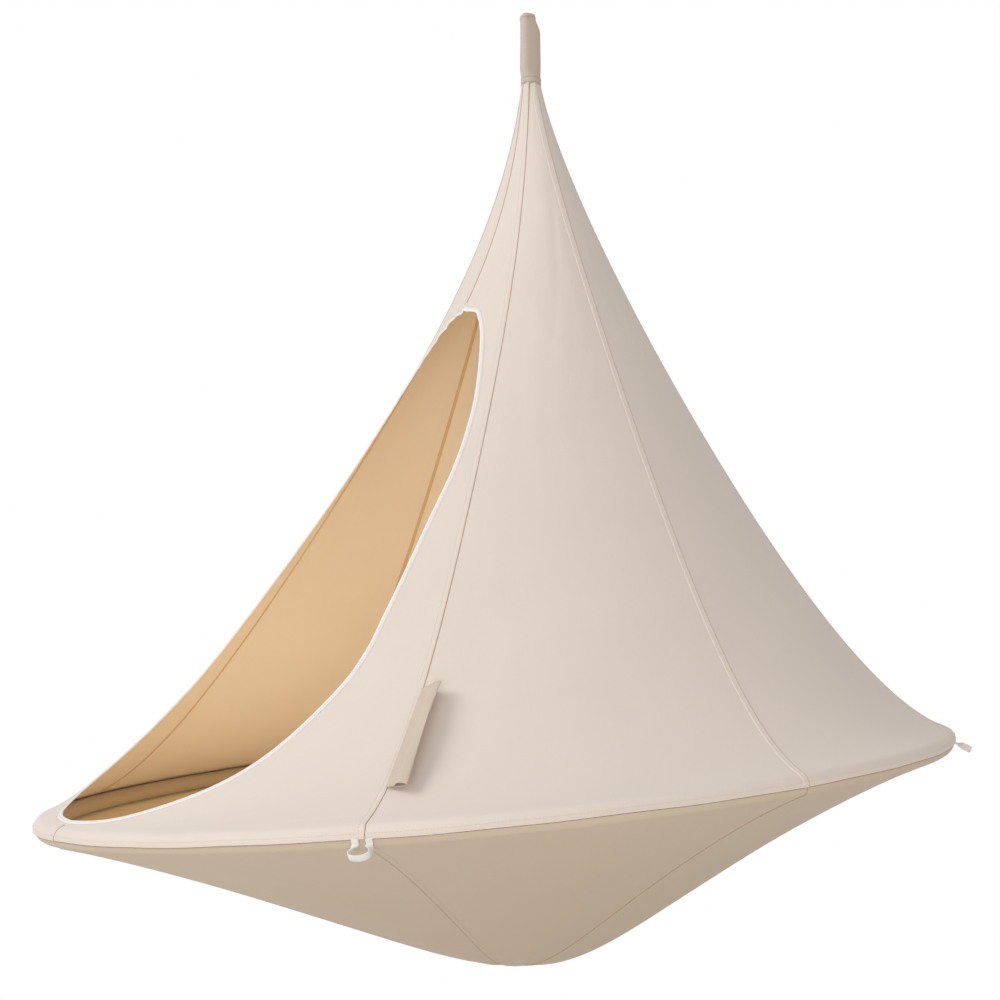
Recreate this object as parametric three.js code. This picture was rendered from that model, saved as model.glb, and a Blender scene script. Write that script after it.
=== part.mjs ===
// Hanging tent: a taut canvas cone of eight gores over a tube ring, with a shallow bowl floor,
// a teardrop door cut about one seam, and a webbing eye inside a cloth sock at the peak.
// Millimetres, +Z up. The door faces -Y. The origin is the bearing point of the hang eye.
import * as THREE from 'three';

const rad = THREE.MathUtils.degToRad;
const lerp = THREE.MathUtils.lerp;

// Whole tent
const GORES = 8;
const GORE_ANGLE = 360 / GORES;
const COLUMNS = 5;                    // facets across one gore
const STEP_ANGLE = GORE_ANGLE / COLUMNS;
const EYE_TO_NECK = 75;               // bearing point of the eye down to the top of the cone
const CLOTH = 1.2;                    // cloth with its proofing, as a solid
const GAP = 0.3;                      // between pieces that are sewn or pushed together

// Ring: four bent tubes with a joiner inside each meeting
const RING_RADIUS = 736;              // to the tube's centre line
const RING_DROP = 1239.5;             // neck to ring centre
const RING_FORWARD = 66.6;            // ring centre in front of the hang line
const RING_TILT = 6.43;               // door side low
const TUBE_RADIUS = 12.5;
const TUBE_WALL = 1.5;
const TUBE_SIDES = 10;
const RING_TUBES = 4;
const JOINER_LENGTH = 150;
const JOINER_CLEARANCE = 0.4;
const SLEEVE_OUTER = 14.3;
const SLEEVE_WALL = 1.2;
const WRAP_INNER = 15.1;              // cloth that laps the sleeve, to its inner face
const WRAP_OUTER = WRAP_INNER + CLOTH;
const CANOPY_LANDS_AT = 68;           // degrees above the tube's outer side, where the cone meets it
const HEM_AT = -10;                   // the canopy's lower edge, below the tube's outer side
const HEM_ROWS = 4;
const BASE_LEAVES_AT = -62;           // where the floor cloth leaves the tube

// Canopy: each meridian is a smooth curve from the neck to the ring, with three handles between.
// Each handle is a fraction of the way out and of the way down, at the door seam, at the flanks and
// at the back. The middle is a fraction of the way from the neck's centre to the ring's centre.
const NECK_RADIUS = 17;
const CANOPY_HANDLES = [
  {
    out: { door: 0.072, flank: 0.091, back: 0.042 },
    down: { door: 0.44, flank: 0.231, back: 0.223 },
    middle: -0.039,
  },
  {
    out: { door: 0.486, flank: 0.405, back: 0.38 },
    down: { door: 0.525, flank: 0.522, back: 0.585 },
    middle: 0.14,
  },
  {
    out: { door: 0.741, flank: 0.694, back: 0.76 },
    down: { door: 0.918, flank: 0.93, back: 0.957 },
    middle: 0.443,
  },
];
const GORE_FLATNESS = 0.25;           // 0 is a round section, 1 is a flat gore between its seams
const ROWS_ABOVE_DOOR = 6;
const DOOR_ROWS = 12;

// Door: half-width in mm at parts of the way down the door seam's curve
const DOOR_TOP = 0.244;
const DOOR_BOTTOM = 0.986;
const DOOR_OUTLINE = [
  [0, DOOR_TOP], [40, 0.258], [64, 0.277], [98, 0.316], [141, 0.378], [177, 0.436], [212, 0.508],
  [236, 0.578], [277, 0.689], [295, 0.738], [300, 0.785], [284, 0.863], [243, 0.915], [160, 0.96],
  [90, 0.979], [0, DOOR_BOTTOM],
];
const BINDING_WIDTH = 7;
const BINDING_PROUD = 0.7;            // above and below the cloth

// Floor: the same kind of curve from the ring to the lowest point
const BASE_DEPTH = 1553.8;            // neck down to the lowest point
const BASE_BOTTOM_FORWARD = 45;
const FLOOR_HANDLES = [
  { out: { door: 0.214, flank: 0.219, back: 0.224 }, down: 0.158 },
  { out: { door: 0.641, flank: 0.649, back: 0.657 }, down: 0.659 },
  { out: { door: 0.902, flank: 0.802, back: 0.702 }, down: 1.04 },
];
const BASE_BELLY = 4;                 // a floor gore hangs below the line between its seams
const BASE_FOLD = 1.6;                // soft folds beside each floor seam near the bottom
const BASE_ROWS = 7;
const BASE_END = 0.975;               // the gores' tips stop short of their meeting point

// Seam tapes, inside
const TAPE_WIDTH = 10;
const TAPE_THICKNESS = 0.8;
const TAPE_GAP = 0.42;                // to the cloth that it is sewn to
const TAPE_FIRST_ROW = 3;
const TAPE_DOOR_LAST_ROW = 5;         // the door seam's tape ends above the door
const FLOOR_TAPE_FIRST_ROW = 1;
const FLOOR_TAPE_LAST_ROW = 5;

// Sock, its bands and the hang strap
const SOCK_INNER = 16.9;
const SOCK_OUTER = 18.1;
const BAND_HEIGHT = 14;
const BAND_OUTER = 18.8;
const SOCK_TOP = 128;                 // above the neck
const SOCK_HEM_HEIGHT = 8;
const SOCK_SIDES = 20;
const STRAP_THICKNESS = 2.5;
const STRAP_WIDTH = 18;
const STRAP_EYE_RADIUS = 8.5;
const STRAP_TAIL = 48;                // below the neck

// Webbing loops on the rim
const LOOP_ANGLES = [45, 135, 225, 315];
const LOOP_NAMES = ['front_left', 'back_left', 'back_right', 'front_right'];
const LOOP_REACH = 28;
const LOOP_HALF_WIDTH = 14;
const LOOP_ROOT_HALF_WIDTH = 8;
const LOOP_CORNER = 8;
const LOOP_WEBBING = 9.5;
const LOOP_ROOT_WEBBING = 3;
const LOOP_THICKNESS = 1.5;
const LOOP_DROOP = 30;                // below the plane of the ring
const LOOP_ROOT_AT = 15.2;            // from the tube's centre line

// Tag sewn into the seam beside the door
const TAG_SEAM = 45;
const TAG_TOP = 0.794;
const TAG_BOTTOM = 0.931;
const TAG_WIDTH = 34;
const TAG_THICKNESS = 1;
const TAG_INSIDE = 1.6;
const TAG_LIFT = 25;                  // off the cloth
const TAG_CLEAR = 1.2;

const NECK_Z = -EYE_TO_NECK;
const BAND_TOP_Z = NECK_Z + BAND_HEIGHT;
const SOCK_TOP_Z = NECK_Z + SOCK_TOP;
const RING_CENTRE = new THREE.Vector3(0, -RING_FORWARD, NECK_Z - RING_DROP);
const RING_UP = new THREE.Vector3(0, -Math.sin(rad(RING_TILT)), Math.cos(rad(RING_TILT)));
const RING_BACK = new THREE.Vector3(0, Math.cos(rad(RING_TILT)), Math.sin(rad(RING_TILT)));
const RING_SIDE = new THREE.Vector3(1, 0, 0);

const canvas = { color: 0xd8ccbf, roughness: 0.9, metalness: 0 };
const floorCloth = { color: 0xb9a894, roughness: 0.92, metalness: 0 };
const tapeCloth = { color: 0xb88c5a, roughness: 0.9, metalness: 0 };
const whiteBinding = { color: 0xe8e4e6, roughness: 0.75, metalness: 0 };
const webbing = { color: 0xdfdcda, roughness: 0.8, metalness: 0 };
const aluminium = { color: 0xb9bcc0, roughness: 0.4, metalness: 0.9 };

const tent = new THREE.Group();

function add(name, geometry, look) {
  const mesh = new THREE.Mesh(geometry, new THREE.MeshStandardMaterial(look));
  mesh.name = name;
  tent.add(mesh);
}

// One closed body between two skins of points, each a list of rows. The columns or the rows may
// join end to end; where they don't, walls close the edges.
function bodyBetween(outer, inner, joins = {}) {
  const rows = outer.length;
  const columns = outer[0].length;
  const points = [...outer.flat(), ...inner.flat()];
  const faces = [];
  const at = (skin, row, column) => skin * rows * columns + (row % rows) * columns + (column % columns);
  const quad = (a, b, c, d) => faces.push(a, b, c, a, c, d);
  const lastRow = joins.rows ? rows : rows - 1;
  const lastColumn = joins.columns ? columns : columns - 1;
  for (let r = 0; r < lastRow; r += 1) {
    for (let c = 0; c < lastColumn; c += 1) {
      quad(at(0, r, c), at(0, r, c + 1), at(0, r + 1, c + 1), at(0, r + 1, c));
      quad(at(1, r, c), at(1, r + 1, c), at(1, r + 1, c + 1), at(1, r, c + 1));
    }
    if (!joins.columns) {
      quad(at(0, r, 0), at(0, r + 1, 0), at(1, r + 1, 0), at(1, r, 0));
      const end = columns - 1;
      quad(at(0, r, end), at(1, r, end), at(1, r + 1, end), at(0, r + 1, end));
    }
  }
  if (!joins.rows) {
    for (let c = 0; c < lastColumn; c += 1) {
      quad(at(0, 0, c), at(1, 0, c), at(1, 0, c + 1), at(0, 0, c + 1));
      const end = rows - 1;
      quad(at(0, end, c), at(0, end, c + 1), at(1, end, c + 1), at(1, end, c));
    }
  }
  if (signedVolume(points, faces) < 0) {
    faces.reverse();
  }
  const geometry = new THREE.BufferGeometry().setFromPoints(points);
  geometry.setIndex(faces);
  geometry.computeVertexNormals();
  return geometry;
}

function signedVolume(points, faces) {
  let volume = 0;
  for (let i = 0; i < faces.length; i += 3) {
    const [a, b, c] = [points[faces[i]], points[faces[i + 1]], points[faces[i + 2]]];
    volume += a.dot(b.clone().cross(c)) / 6;
  }
  return volume;
}

// A value that changes round the tent from the door over the flanks to the back
function around(values, angle) {
  const c = Math.cos(rad(angle));
  const mean = (values.door + values.back) / 2;
  return values.flank * (1 - c * c) + mean * c * c + (values.door - values.back) / 2 * c;
}

// The direction away from the ring's centre, in the ring's plane. Angle 0 is the door seam.
function ringOut(angle) {
  return RING_SIDE.clone().multiplyScalar(Math.sin(rad(angle)))
    .addScaledVector(RING_BACK, -Math.cos(rad(angle)));
}

// A point beside the tube: how far from its centre line, and at what angle above its outer side.
// The ring is a regular polygon of straight steps, so that every piece on it shares its corners.
function ringPoint(angle, distance, tubeAngle) {
  const first = Math.floor(angle / STEP_ANGLE + 1e-9);
  const part = angle / STEP_ANGLE - first;
  const corner = (k) => RING_CENTRE.clone()
    .addScaledVector(ringOut(k * STEP_ANGLE), RING_RADIUS + distance * Math.cos(rad(tubeAngle)))
    .addScaledVector(RING_UP, distance * Math.sin(rad(tubeAngle)));
  return corner(first).lerp(corner(first + 1), part);
}

// The value at part t of a smooth curve that starts at the first value, ends at the last and is
// drawn towards those between
function curve(values, t) {
  let level = values;
  while (level.length > 1) {
    level = level.slice(1).map((value, i) => lerp(level[i], value, t));
  }
  return level[0];
}

// Outer face of the canopy at a part of the way from the neck (0) to the ring (1)
function canopyPoint(angle, t) {
  const start = new THREE.Vector2(Math.sin(rad(angle)), -Math.cos(rad(angle))).multiplyScalar(NECK_RADIUS);
  const end = ringPoint(angle, WRAP_OUTER, CANOPY_LANDS_AT);
  const xs = [start.x];
  const ys = [start.y];
  const zs = [NECK_Z];
  CANOPY_HANDLES.forEach((handle) => {
    const out = around(handle.out, angle);
    xs.push(lerp(start.x, end.x, out));
    ys.push(lerp(start.y, end.y + RING_FORWARD, out) - RING_FORWARD * handle.middle);
    zs.push(lerp(NECK_Z, end.z, around(handle.down, angle)));
  });
  const x = curve([...xs, end.x], t);
  const y = curve([...ys, end.y], t);
  const z = curve([...zs, end.z], t);
  const middleY = -RING_FORWARD * t;
  const pull = 1 - GORE_FLATNESS * (1 - t * t) * (1 - flatGoreShare(angle));
  return new THREE.Vector3(x * pull, middleY + (y - middleY) * pull, z);
}

// How far out a flat gore lies at this angle, as a share of its seams' distance
function flatGoreShare(angle) {
  const half = GORE_ANGLE / 2;
  const fromSeam = Math.abs(((angle + half) % GORE_ANGLE + GORE_ANGLE) % GORE_ANGLE - half);
  return Math.cos(rad(half)) / Math.cos(rad(half - fromSeam));
}

// Outer face of the floor from the ring (0) to its lowest point (1)
function floorPoint(angle, t) {
  const start = ringPoint(angle, WRAP_OUTER, BASE_LEAVES_AT);
  const end = new THREE.Vector3(0, -BASE_BOTTOM_FORWARD, NECK_Z - BASE_DEPTH);
  const outs = FLOOR_HANDLES.map((handle) => around(handle.out, angle));
  const x = curve([start.x, ...outs.map((out) => lerp(start.x, end.x, out)), end.x], t);
  const y = curve([start.y, ...outs.map((out) => lerp(start.y, end.y, out)), end.y], t);
  const z = curve([start.z, ...FLOOR_HANDLES.map((handle) => lerp(start.z, end.z, handle.down)), end.z], t);
  const acrossGore = rad((angle % GORE_ANGLE) * 360 / GORE_ANGLE);
  const belly = BASE_BELLY * (1 - Math.cos(acrossGore)) / 2 * 4 * t * (1 - t);
  const fold = BASE_FOLD * Math.sin(acrossGore * 2) * t * t * t * (1 - t) * 4;
  return new THREE.Vector3(x, y, z - belly - fold);
}

// The face's direction at a point, pointing away from the tent's inside
function outward(surface, angle, t) {
  const step = 1e-3;
  const a = surface(angle + step, t).sub(surface(angle - step, t));
  const low = Math.max(t - step, 0);
  const high = Math.min(t + step, 1);
  const b = surface(angle, high).sub(surface(angle, low));
  const n = a.cross(b).normalize();
  const middle = new THREE.Vector3(0, -RING_FORWARD, NECK_Z - RING_DROP);
  return n.dot(surface(angle, t).sub(middle)) < 0 ? n.negate() : n;
}

// The door's half-width curve, and from it the cloth's edge as an angle from the door seam
const doorCurve = new THREE.SplineCurve(DOOR_OUTLINE.map(([x, t]) => new THREE.Vector2(x, t)));
const doorSamples = doorCurve.getPoints(400);

function doorHalfWidth(t) {
  const index = doorSamples.findIndex((p) => p.y >= t);
  if (index <= 0) {
    return 0;
  }
  const [a, b] = [doorSamples[index - 1], doorSamples[index]];
  return lerp(a.x, b.x, (t - a.y) / Math.max(b.y - a.y, 1e-9));
}

function doorAngle(t) {
  const halfWidth = t > DOOR_TOP && t < DOOR_BOTTOM ? doorHalfWidth(t) : 0;
  let low = 0;
  let high = GORE_ANGLE;
  for (let i = 0; i < 40; i += 1) {
    const middle = (low + high) / 2;
    if (canopyPoint(middle, t).x < halfWidth) {
      low = middle;
    } else {
      high = middle;
    }
  }
  return low;
}

// Rows down the canopy: even above the door, and closer at the door's two ends
const canopyRows = [];
for (let i = 0; i < ROWS_ABOVE_DOOR; i += 1) {
  canopyRows.push(DOOR_TOP * i / ROWS_ABOVE_DOOR);
}
for (let i = 0; i <= DOOR_ROWS; i += 1) {
  const part = (1 - Math.cos(Math.PI * i / DOOR_ROWS)) / 2;
  canopyRows.push(lerp(DOOR_TOP, DOOR_BOTTOM, part));
}
canopyRows.push(1);

// Half the gap at a seam, as an angle round the tent at a part of the way down a surface
function seamClearance(surface, seam, t) {
  const point = surface(seam, t);
  const reach = Math.hypot(point.x, point.y + RING_FORWARD * t);
  return THREE.MathUtils.radToDeg(GAP / 2 / reach);
}

// A gore's columns at one row as outer and inner points. At a seam the cloth's thickness is taken
// along the seam's own direction, so that two gores stay apart.
function goreRow(surface, gore, t, cut) {
  const seams = [gore * GORE_ANGLE, (gore + 1) * GORE_ANGLE];
  const edges = seams.map((seam, i) => {
    const inset = Math.max(seamClearance(surface, seam, t), cut[i]);
    return i === 0 ? seam + inset : seam - inset;
  });
  const outer = [];
  const inner = [];
  for (let column = 0; column <= COLUMNS; column += 1) {
    const angle = lerp(edges[0], edges[1], column / COLUMNS);
    const side = column === 0 ? 0 : 1;
    const onSeam = column % COLUMNS === 0 && Math.abs(angle - seams[side]) < 1.5;
    const point = surface(angle, t);
    outer.push(point);
    inner.push(point.clone().addScaledVector(outward(surface, onSeam ? seams[side] : angle, t), -CLOTH));
  }
  return [outer, inner];
}

// The row of a gore's cloth that laps the ring at one angle round the tube
function hemRow(gore, tubeAngle) {
  const clear = seamClearance(canopyPoint, gore * GORE_ANGLE, 1);
  const from = gore * GORE_ANGLE + clear;
  const to = (gore + 1) * GORE_ANGLE - clear;
  const angles = Array.from({ length: COLUMNS + 1 }, (unused, i) => lerp(from, to, i / COLUMNS));
  const skin = (distance) => angles.map((angle) => ringPoint(angle, distance, tubeAngle));
  return [skin(WRAP_OUTER), skin(WRAP_INNER)];
}

function canopyGore(gore) {
  const rows = canopyRows.map((t) => {
    const door = doorAngle(t);
    return goreRow(canopyPoint, gore, t, [gore === 0 ? door : 0, gore === GORES - 1 ? door : 0]);
  });
  for (let row = 1; row <= HEM_ROWS; row += 1) {
    const tubeAngle = lerp(CANOPY_LANDS_AT, HEM_AT, row / HEM_ROWS);
    rows.push(hemRow(gore, tubeAngle));
  }
  return { outer: rows.map((row) => row[0]), inner: rows.map((row) => row[1]) };
}

function floorGore(gore) {
  const rows = Array.from({ length: BASE_ROWS + 1 }, (unused, i) =>
    goreRow(floorPoint, gore, BASE_END * i / BASE_ROWS, [0, 0]));
  return { outer: rows.map((row) => row[0]), inner: rows.map((row) => row[1]) };
}

// A tape on the inside of a seam, over the edges of the two gores that meet there
function seamTape(leftGore, rightGore, firstRow, lastRow) {
  const outer = [];
  const inner = [];
  for (let row = firstRow; row <= lastRow; row += 1) {
    const left = leftGore.inner[row].slice(-2).reverse();
    const right = rightGore.inner[row].slice(0, 2);
    const away = leftGore.outer[row].at(-1).clone().sub(leftGore.inner[row].at(-1))
      .add(rightGore.outer[row][0]).sub(rightGore.inner[row][0]).normalize();
    const edge = ([near, far]) => near.clone().lerp(far, TAPE_WIDTH / 2 / near.distanceTo(far));
    const seam = left[0].clone().lerp(right[0], 0.5);
    const edges = [edge(left), seam, edge(right)];
    outer.push(edges.map((p) => p.clone().addScaledVector(away, -TAPE_GAP)));
    inner.push(edges.map((p) => p.clone().addScaledVector(away, -TAPE_GAP - TAPE_THICKNESS)));
  }
  return bodyBetween(outer, inner);
}

// A tube along part of the ring, open at both ends
function ringPipe(fromAngle, toAngle, outerRadius, wall) {
  const stations = [fromAngle];
  for (let k = Math.ceil(fromAngle / STEP_ANGLE + 0.01); k * STEP_ANGLE < toAngle - 0.01; k += 1) {
    stations.push(k * STEP_ANGLE);
  }
  stations.push(toAngle);
  const skin = (distance) => stations.map((angle) => Array.from({ length: TUBE_SIDES }, (unused, i) =>
    ringPoint(angle, distance, 360 * i / TUBE_SIDES)));
  return bodyBetween(skin(outerRadius), skin(outerRadius - wall), { columns: true });
}

// The white binding round the door, inside the cloth's cut edge
function doorBinding() {
  const rightRows = canopyRows.slice(ROWS_ABOVE_DOOR, ROWS_ABOVE_DOOR + DOOR_ROWS + 1);
  const stations = rightRows.map((t) => ({ t, angle: doorAngle(t) }));
  const leftStations = stations.slice(1, -1).reverse().map((right) => ({ t: right.t, angle: -right.angle }));
  const loop = [...stations, ...leftStations];
  const points = loop.map(({ t, angle }) => canopyPoint(angle, t));
  const middle = canopyPoint(0, lerp(DOOR_TOP, DOOR_BOTTOM, 0.5));
  const skins = [[], []];
  points.forEach((point, i) => {
    const before = points.at(i - 1);
    const after = points[(i + 1) % points.length];
    const normal = outward(canopyPoint, loop[i].angle, loop[i].t);
    const toOpening = normal.clone().cross(after.clone().sub(before)).normalize();
    if (toOpening.dot(middle.clone().sub(point)) < 0) {
      toOpening.negate();
    }
    [BINDING_PROUD, -CLOTH - BINDING_PROUD].forEach((height, skin) => {
      skins[skin].push([GAP, GAP + BINDING_WIDTH].map((reach) =>
        point.clone().addScaledVector(toOpening, reach).addScaledVector(normal, height)));
    });
  });
  return bodyBetween(skins[0], skins[1], { rows: true });
}

function clothRing(innerRadius, outerRadius, bottom, top) {
  const profile = [
    new THREE.Vector2(innerRadius, bottom),
    new THREE.Vector2(outerRadius, bottom),
    new THREE.Vector2(outerRadius, top),
    new THREE.Vector2(innerRadius, top),
    new THREE.Vector2(innerRadius, bottom),
  ];
  return new THREE.LatheGeometry(profile, SOCK_SIDES).rotateX(Math.PI / 2);
}

// The hang strap: an inverted U whose bend bears on the carabiner, its tails inside the cone
function hangStrap() {
  const r = STRAP_EYE_RADIUS;
  const outline = new THREE.Shape();
  outline.moveTo(r + STRAP_THICKNESS, NECK_Z - STRAP_TAIL);
  outline.lineTo(r + STRAP_THICKNESS, -r);
  outline.absarc(0, -r, r + STRAP_THICKNESS, 0, Math.PI, false);
  outline.lineTo(-r - STRAP_THICKNESS, NECK_Z - STRAP_TAIL);
  outline.lineTo(-r, NECK_Z - STRAP_TAIL);
  outline.lineTo(-r, -r);
  outline.absarc(0, -r, r, Math.PI, 0, true);
  outline.lineTo(r, NECK_Z - STRAP_TAIL);
  const settings = { depth: STRAP_WIDTH, bevelEnabled: false, curveSegments: 8 };
  const strap = new THREE.ExtrudeGeometry(outline, settings);
  return strap.translate(0, 0, -STRAP_WIDTH / 2).rotateX(Math.PI / 2);
}

// One rim loop: a strip of webbing that leaves the hem, turns and comes back, pinched at its root
function rimLoop(angle) {
  const side = ringOut(angle + 90);
  const out = ringOut(angle).multiplyScalar(Math.cos(rad(LOOP_DROOP)))
    .addScaledVector(RING_UP, -Math.sin(rad(LOOP_DROOP)));
  const across = side.clone().cross(out).normalize();
  const root = ringPoint(angle, LOOP_ROOT_AT, -LOOP_DROOP);
  const corner = LOOP_HALF_WIDTH - LOOP_CORNER;
  const path = new THREE.Path();
  path.moveTo(LOOP_ROOT_HALF_WIDTH, 0);
  path.lineTo(LOOP_HALF_WIDTH, LOOP_REACH - LOOP_CORNER);
  path.absarc(corner, LOOP_REACH - LOOP_CORNER, LOOP_CORNER, 0, Math.PI / 2, false);
  path.lineTo(-corner, LOOP_REACH);
  path.absarc(-corner, LOOP_REACH - LOOP_CORNER, LOOP_CORNER, Math.PI / 2, Math.PI, false);
  path.lineTo(-LOOP_ROOT_HALF_WIDTH, 0);
  const points = path.getPoints(3).filter((p, i, all) => i === 0 || p.distanceTo(all[i - 1]) > GAP);
  const skins = [[], []];
  points.forEach((point, i) => {
    const before = points[Math.max(i - 1, 0)];
    const after = points[Math.min(i + 1, points.length - 1)];
    const along = after.clone().sub(before).normalize();
    const opened = Math.min(point.y / (LOOP_REACH - LOOP_CORNER), 1);
    const half = lerp(LOOP_ROOT_WEBBING, LOOP_WEBBING, opened) / 2;
    [0, LOOP_THICKNESS].forEach((depth, skin) => {
      skins[skin].push([-half, half].map((offset) => root.clone()
        .addScaledVector(side, point.x - along.y * depth)
        .addScaledVector(out, point.y + along.x * depth)
        .addScaledVector(across, offset)));
    });
  });
  return bodyBetween(skins[0], skins[1]);
}

// The blank tag: a strip of cloth folded double and sewn into the seam by its two edges
function seamTag() {
  const top = canopyPoint(TAG_SEAM, TAG_TOP);
  const bottom = canopyPoint(TAG_SEAM, TAG_BOTTOM);
  const along = bottom.clone().sub(top);
  const length = along.length();
  along.normalize();
  const normal = outward(canopyPoint, TAG_SEAM, (TAG_TOP + TAG_BOTTOM) / 2);
  normal.addScaledVector(along, -normal.dot(along)).normalize();
  const flat = along.clone().cross(normal);
  const lifted = flat.multiplyScalar(flat.x * Math.cos(rad(TAG_SEAM)) > 0 ? 1 : -1)
    .multiplyScalar(Math.cos(rad(TAG_LIFT))).addScaledVector(normal, Math.sin(rad(TAG_LIFT)));
  const face = along.clone().cross(lifted);
  const outerRadius = TAG_INSIDE / 2 + TAG_THICKNESS;
  const bend = TAG_WIDTH - outerRadius;
  const outline = new THREE.Shape();
  outline.moveTo(0, -outerRadius);
  outline.lineTo(bend, -outerRadius);
  outline.absarc(bend, 0, outerRadius, -Math.PI / 2, Math.PI / 2, false);
  outline.lineTo(0, outerRadius);
  outline.lineTo(0, TAG_INSIDE / 2);
  outline.lineTo(bend, TAG_INSIDE / 2);
  outline.absarc(bend, 0, TAG_INSIDE / 2, Math.PI / 2, -Math.PI / 2, true);
  outline.lineTo(0, -TAG_INSIDE / 2);
  const tag = new THREE.ExtrudeGeometry(outline, { depth: length, bevelEnabled: false, curveSegments: 4 });
  const place = new THREE.Matrix4().makeBasis(lifted, face, along);
  place.setPosition(top.addScaledVector(normal, TAG_CLEAR + outerRadius));
  return tag.applyMatrix4(place);
}

const canopyGores = Array.from({ length: GORES }, (unused, i) => canopyGore(i));
const floorGores = Array.from({ length: GORES }, (unused, i) => floorGore(i));
const seamClear = THREE.MathUtils.radToDeg(GAP / 2 / RING_RADIUS);

for (let i = 0; i < GORES; i += 1) {
  const number = i + 1;
  const before = (i + GORES - 1) % GORES;
  const lastRow = i === 0 ? TAPE_DOOR_LAST_ROW : canopyRows.length - 2;
  add(`canopy_gore_${number}`, bodyBetween(canopyGores[i].outer, canopyGores[i].inner), canvas);
  add(`floor_gore_${number}`, bodyBetween(floorGores[i].outer, floorGores[i].inner), floorCloth);
  const from = i * GORE_ANGLE + seamClear;
  const to = (i + 1) * GORE_ANGLE - seamClear;
  const canopyTape = seamTape(canopyGores[before], canopyGores[i], TAPE_FIRST_ROW, lastRow);
  const floorTape = seamTape(floorGores[before], floorGores[i], FLOOR_TAPE_FIRST_ROW, FLOOR_TAPE_LAST_ROW);
  add(`rim_sleeve_${number}`, ringPipe(from, to, SLEEVE_OUTER, SLEEVE_WALL), floorCloth);
  add(`canopy_seam_tape_${number}`, canopyTape, tapeCloth);
  add(`floor_seam_tape_${number}`, floorTape, tapeCloth);
}

for (let i = 0; i < RING_TUBES; i += 1) {
  const from = i * 360 / RING_TUBES;
  const to = (i + 1) * 360 / RING_TUBES;
  const joinerHalf = THREE.MathUtils.radToDeg(JOINER_LENGTH / 2 / RING_RADIUS);
  const joinerRadius = TUBE_RADIUS - TUBE_WALL - JOINER_CLEARANCE;
  const tube = ringPipe(from + seamClear, to - seamClear, TUBE_RADIUS, TUBE_WALL);
  const joiner = ringPipe(from - joinerHalf, from + joinerHalf, joinerRadius, TUBE_WALL);
  add(`ring_tube_${i + 1}`, tube, aluminium);
  add(`ring_joiner_${i + 1}`, joiner, aluminium);
}

add('door_binding', doorBinding(), whiteBinding);
add('neck_band', clothRing(SOCK_INNER, BAND_OUTER, NECK_Z + GAP, BAND_TOP_Z), canvas);
add('hanging_sock', clothRing(SOCK_INNER, SOCK_OUTER, BAND_TOP_Z + GAP, SOCK_TOP_Z), canvas);
add('sock_hem', clothRing(SOCK_INNER, BAND_OUTER, SOCK_TOP_Z + GAP, SOCK_TOP_Z + SOCK_HEM_HEIGHT), canvas);
add('hang_strap', hangStrap(), webbing);
LOOP_ANGLES.forEach((angle, i) => add(`rim_loop_${LOOP_NAMES[i]}`, rimLoop(angle), webbing));
add('seam_tag', seamTag(), canvas);

export default tent;
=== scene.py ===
import math

import bpy
import numpy as np
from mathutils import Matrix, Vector


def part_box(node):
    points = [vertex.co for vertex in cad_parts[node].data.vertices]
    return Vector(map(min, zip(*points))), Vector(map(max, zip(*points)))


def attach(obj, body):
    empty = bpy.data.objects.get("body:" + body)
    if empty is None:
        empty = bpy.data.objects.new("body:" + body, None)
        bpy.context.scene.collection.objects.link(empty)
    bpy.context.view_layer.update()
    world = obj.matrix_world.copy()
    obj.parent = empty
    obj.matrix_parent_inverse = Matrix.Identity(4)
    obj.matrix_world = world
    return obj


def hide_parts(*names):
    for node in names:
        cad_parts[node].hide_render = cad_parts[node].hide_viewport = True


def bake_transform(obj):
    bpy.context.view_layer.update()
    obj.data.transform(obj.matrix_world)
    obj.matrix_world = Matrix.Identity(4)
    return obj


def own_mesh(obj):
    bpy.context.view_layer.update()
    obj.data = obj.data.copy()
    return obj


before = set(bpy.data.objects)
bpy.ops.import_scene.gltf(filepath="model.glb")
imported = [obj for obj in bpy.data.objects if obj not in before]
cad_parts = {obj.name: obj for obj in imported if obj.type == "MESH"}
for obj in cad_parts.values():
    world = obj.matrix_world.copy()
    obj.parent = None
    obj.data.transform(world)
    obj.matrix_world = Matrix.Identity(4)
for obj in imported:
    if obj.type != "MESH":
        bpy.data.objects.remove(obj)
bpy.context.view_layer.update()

MM = 0.001
DEG = math.pi / 180

# The tent's measures, in metres and radians. The door faces -Y and angles run from it towards +X.
GORES = 8
GORE_ANGLE = 2 * math.pi / GORES
NECK_Z = -0.075
NECK_RADIUS = 0.017
CLOTH = 0.0007
RING_RADIUS = 0.736
RING_DROP = 1.2395
RING_FORWARD = 0.0666
RING_TILT = 6.43 * DEG
TUBE_RADIUS = 0.0125
TUBE_WALL = 0.0015
TUBE_GAP = 0.00015                    # each tube's half of the gap where two meet
RING_TUBES = 4
JOINER_LENGTH = 0.15
JOINER_CLEARANCE = 0.0004
SLEEVE_RADIUS = 0.0143
SLEEVE_WALL = 0.0012
WRAP_RADIUS = 0.0163
CANOPY_LANDS_AT = 68 * DEG
HEM_AT = -10 * DEG
BASE_LEAVES_AT = -62 * DEG
BASE_DEPTH = 1.5538
BASE_BOTTOM_FORWARD = 0.045

# The canopy's curve from the neck to the ring. Each handle has its share of the way out and of the
# way down, at the door, the flanks and the back, and its middle's share of the way forward.
CANOPY_HANDLES = (
    ((0.072, 0.091, 0.042), (0.44, 0.231, 0.223), -0.039),
    ((0.486, 0.405, 0.38), (0.525, 0.522, 0.585), 0.14),
    ((0.741, 0.694, 0.76), (0.918, 0.93, 0.957), 0.443),
)
GORE_FLATNESS = 0.25

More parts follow.
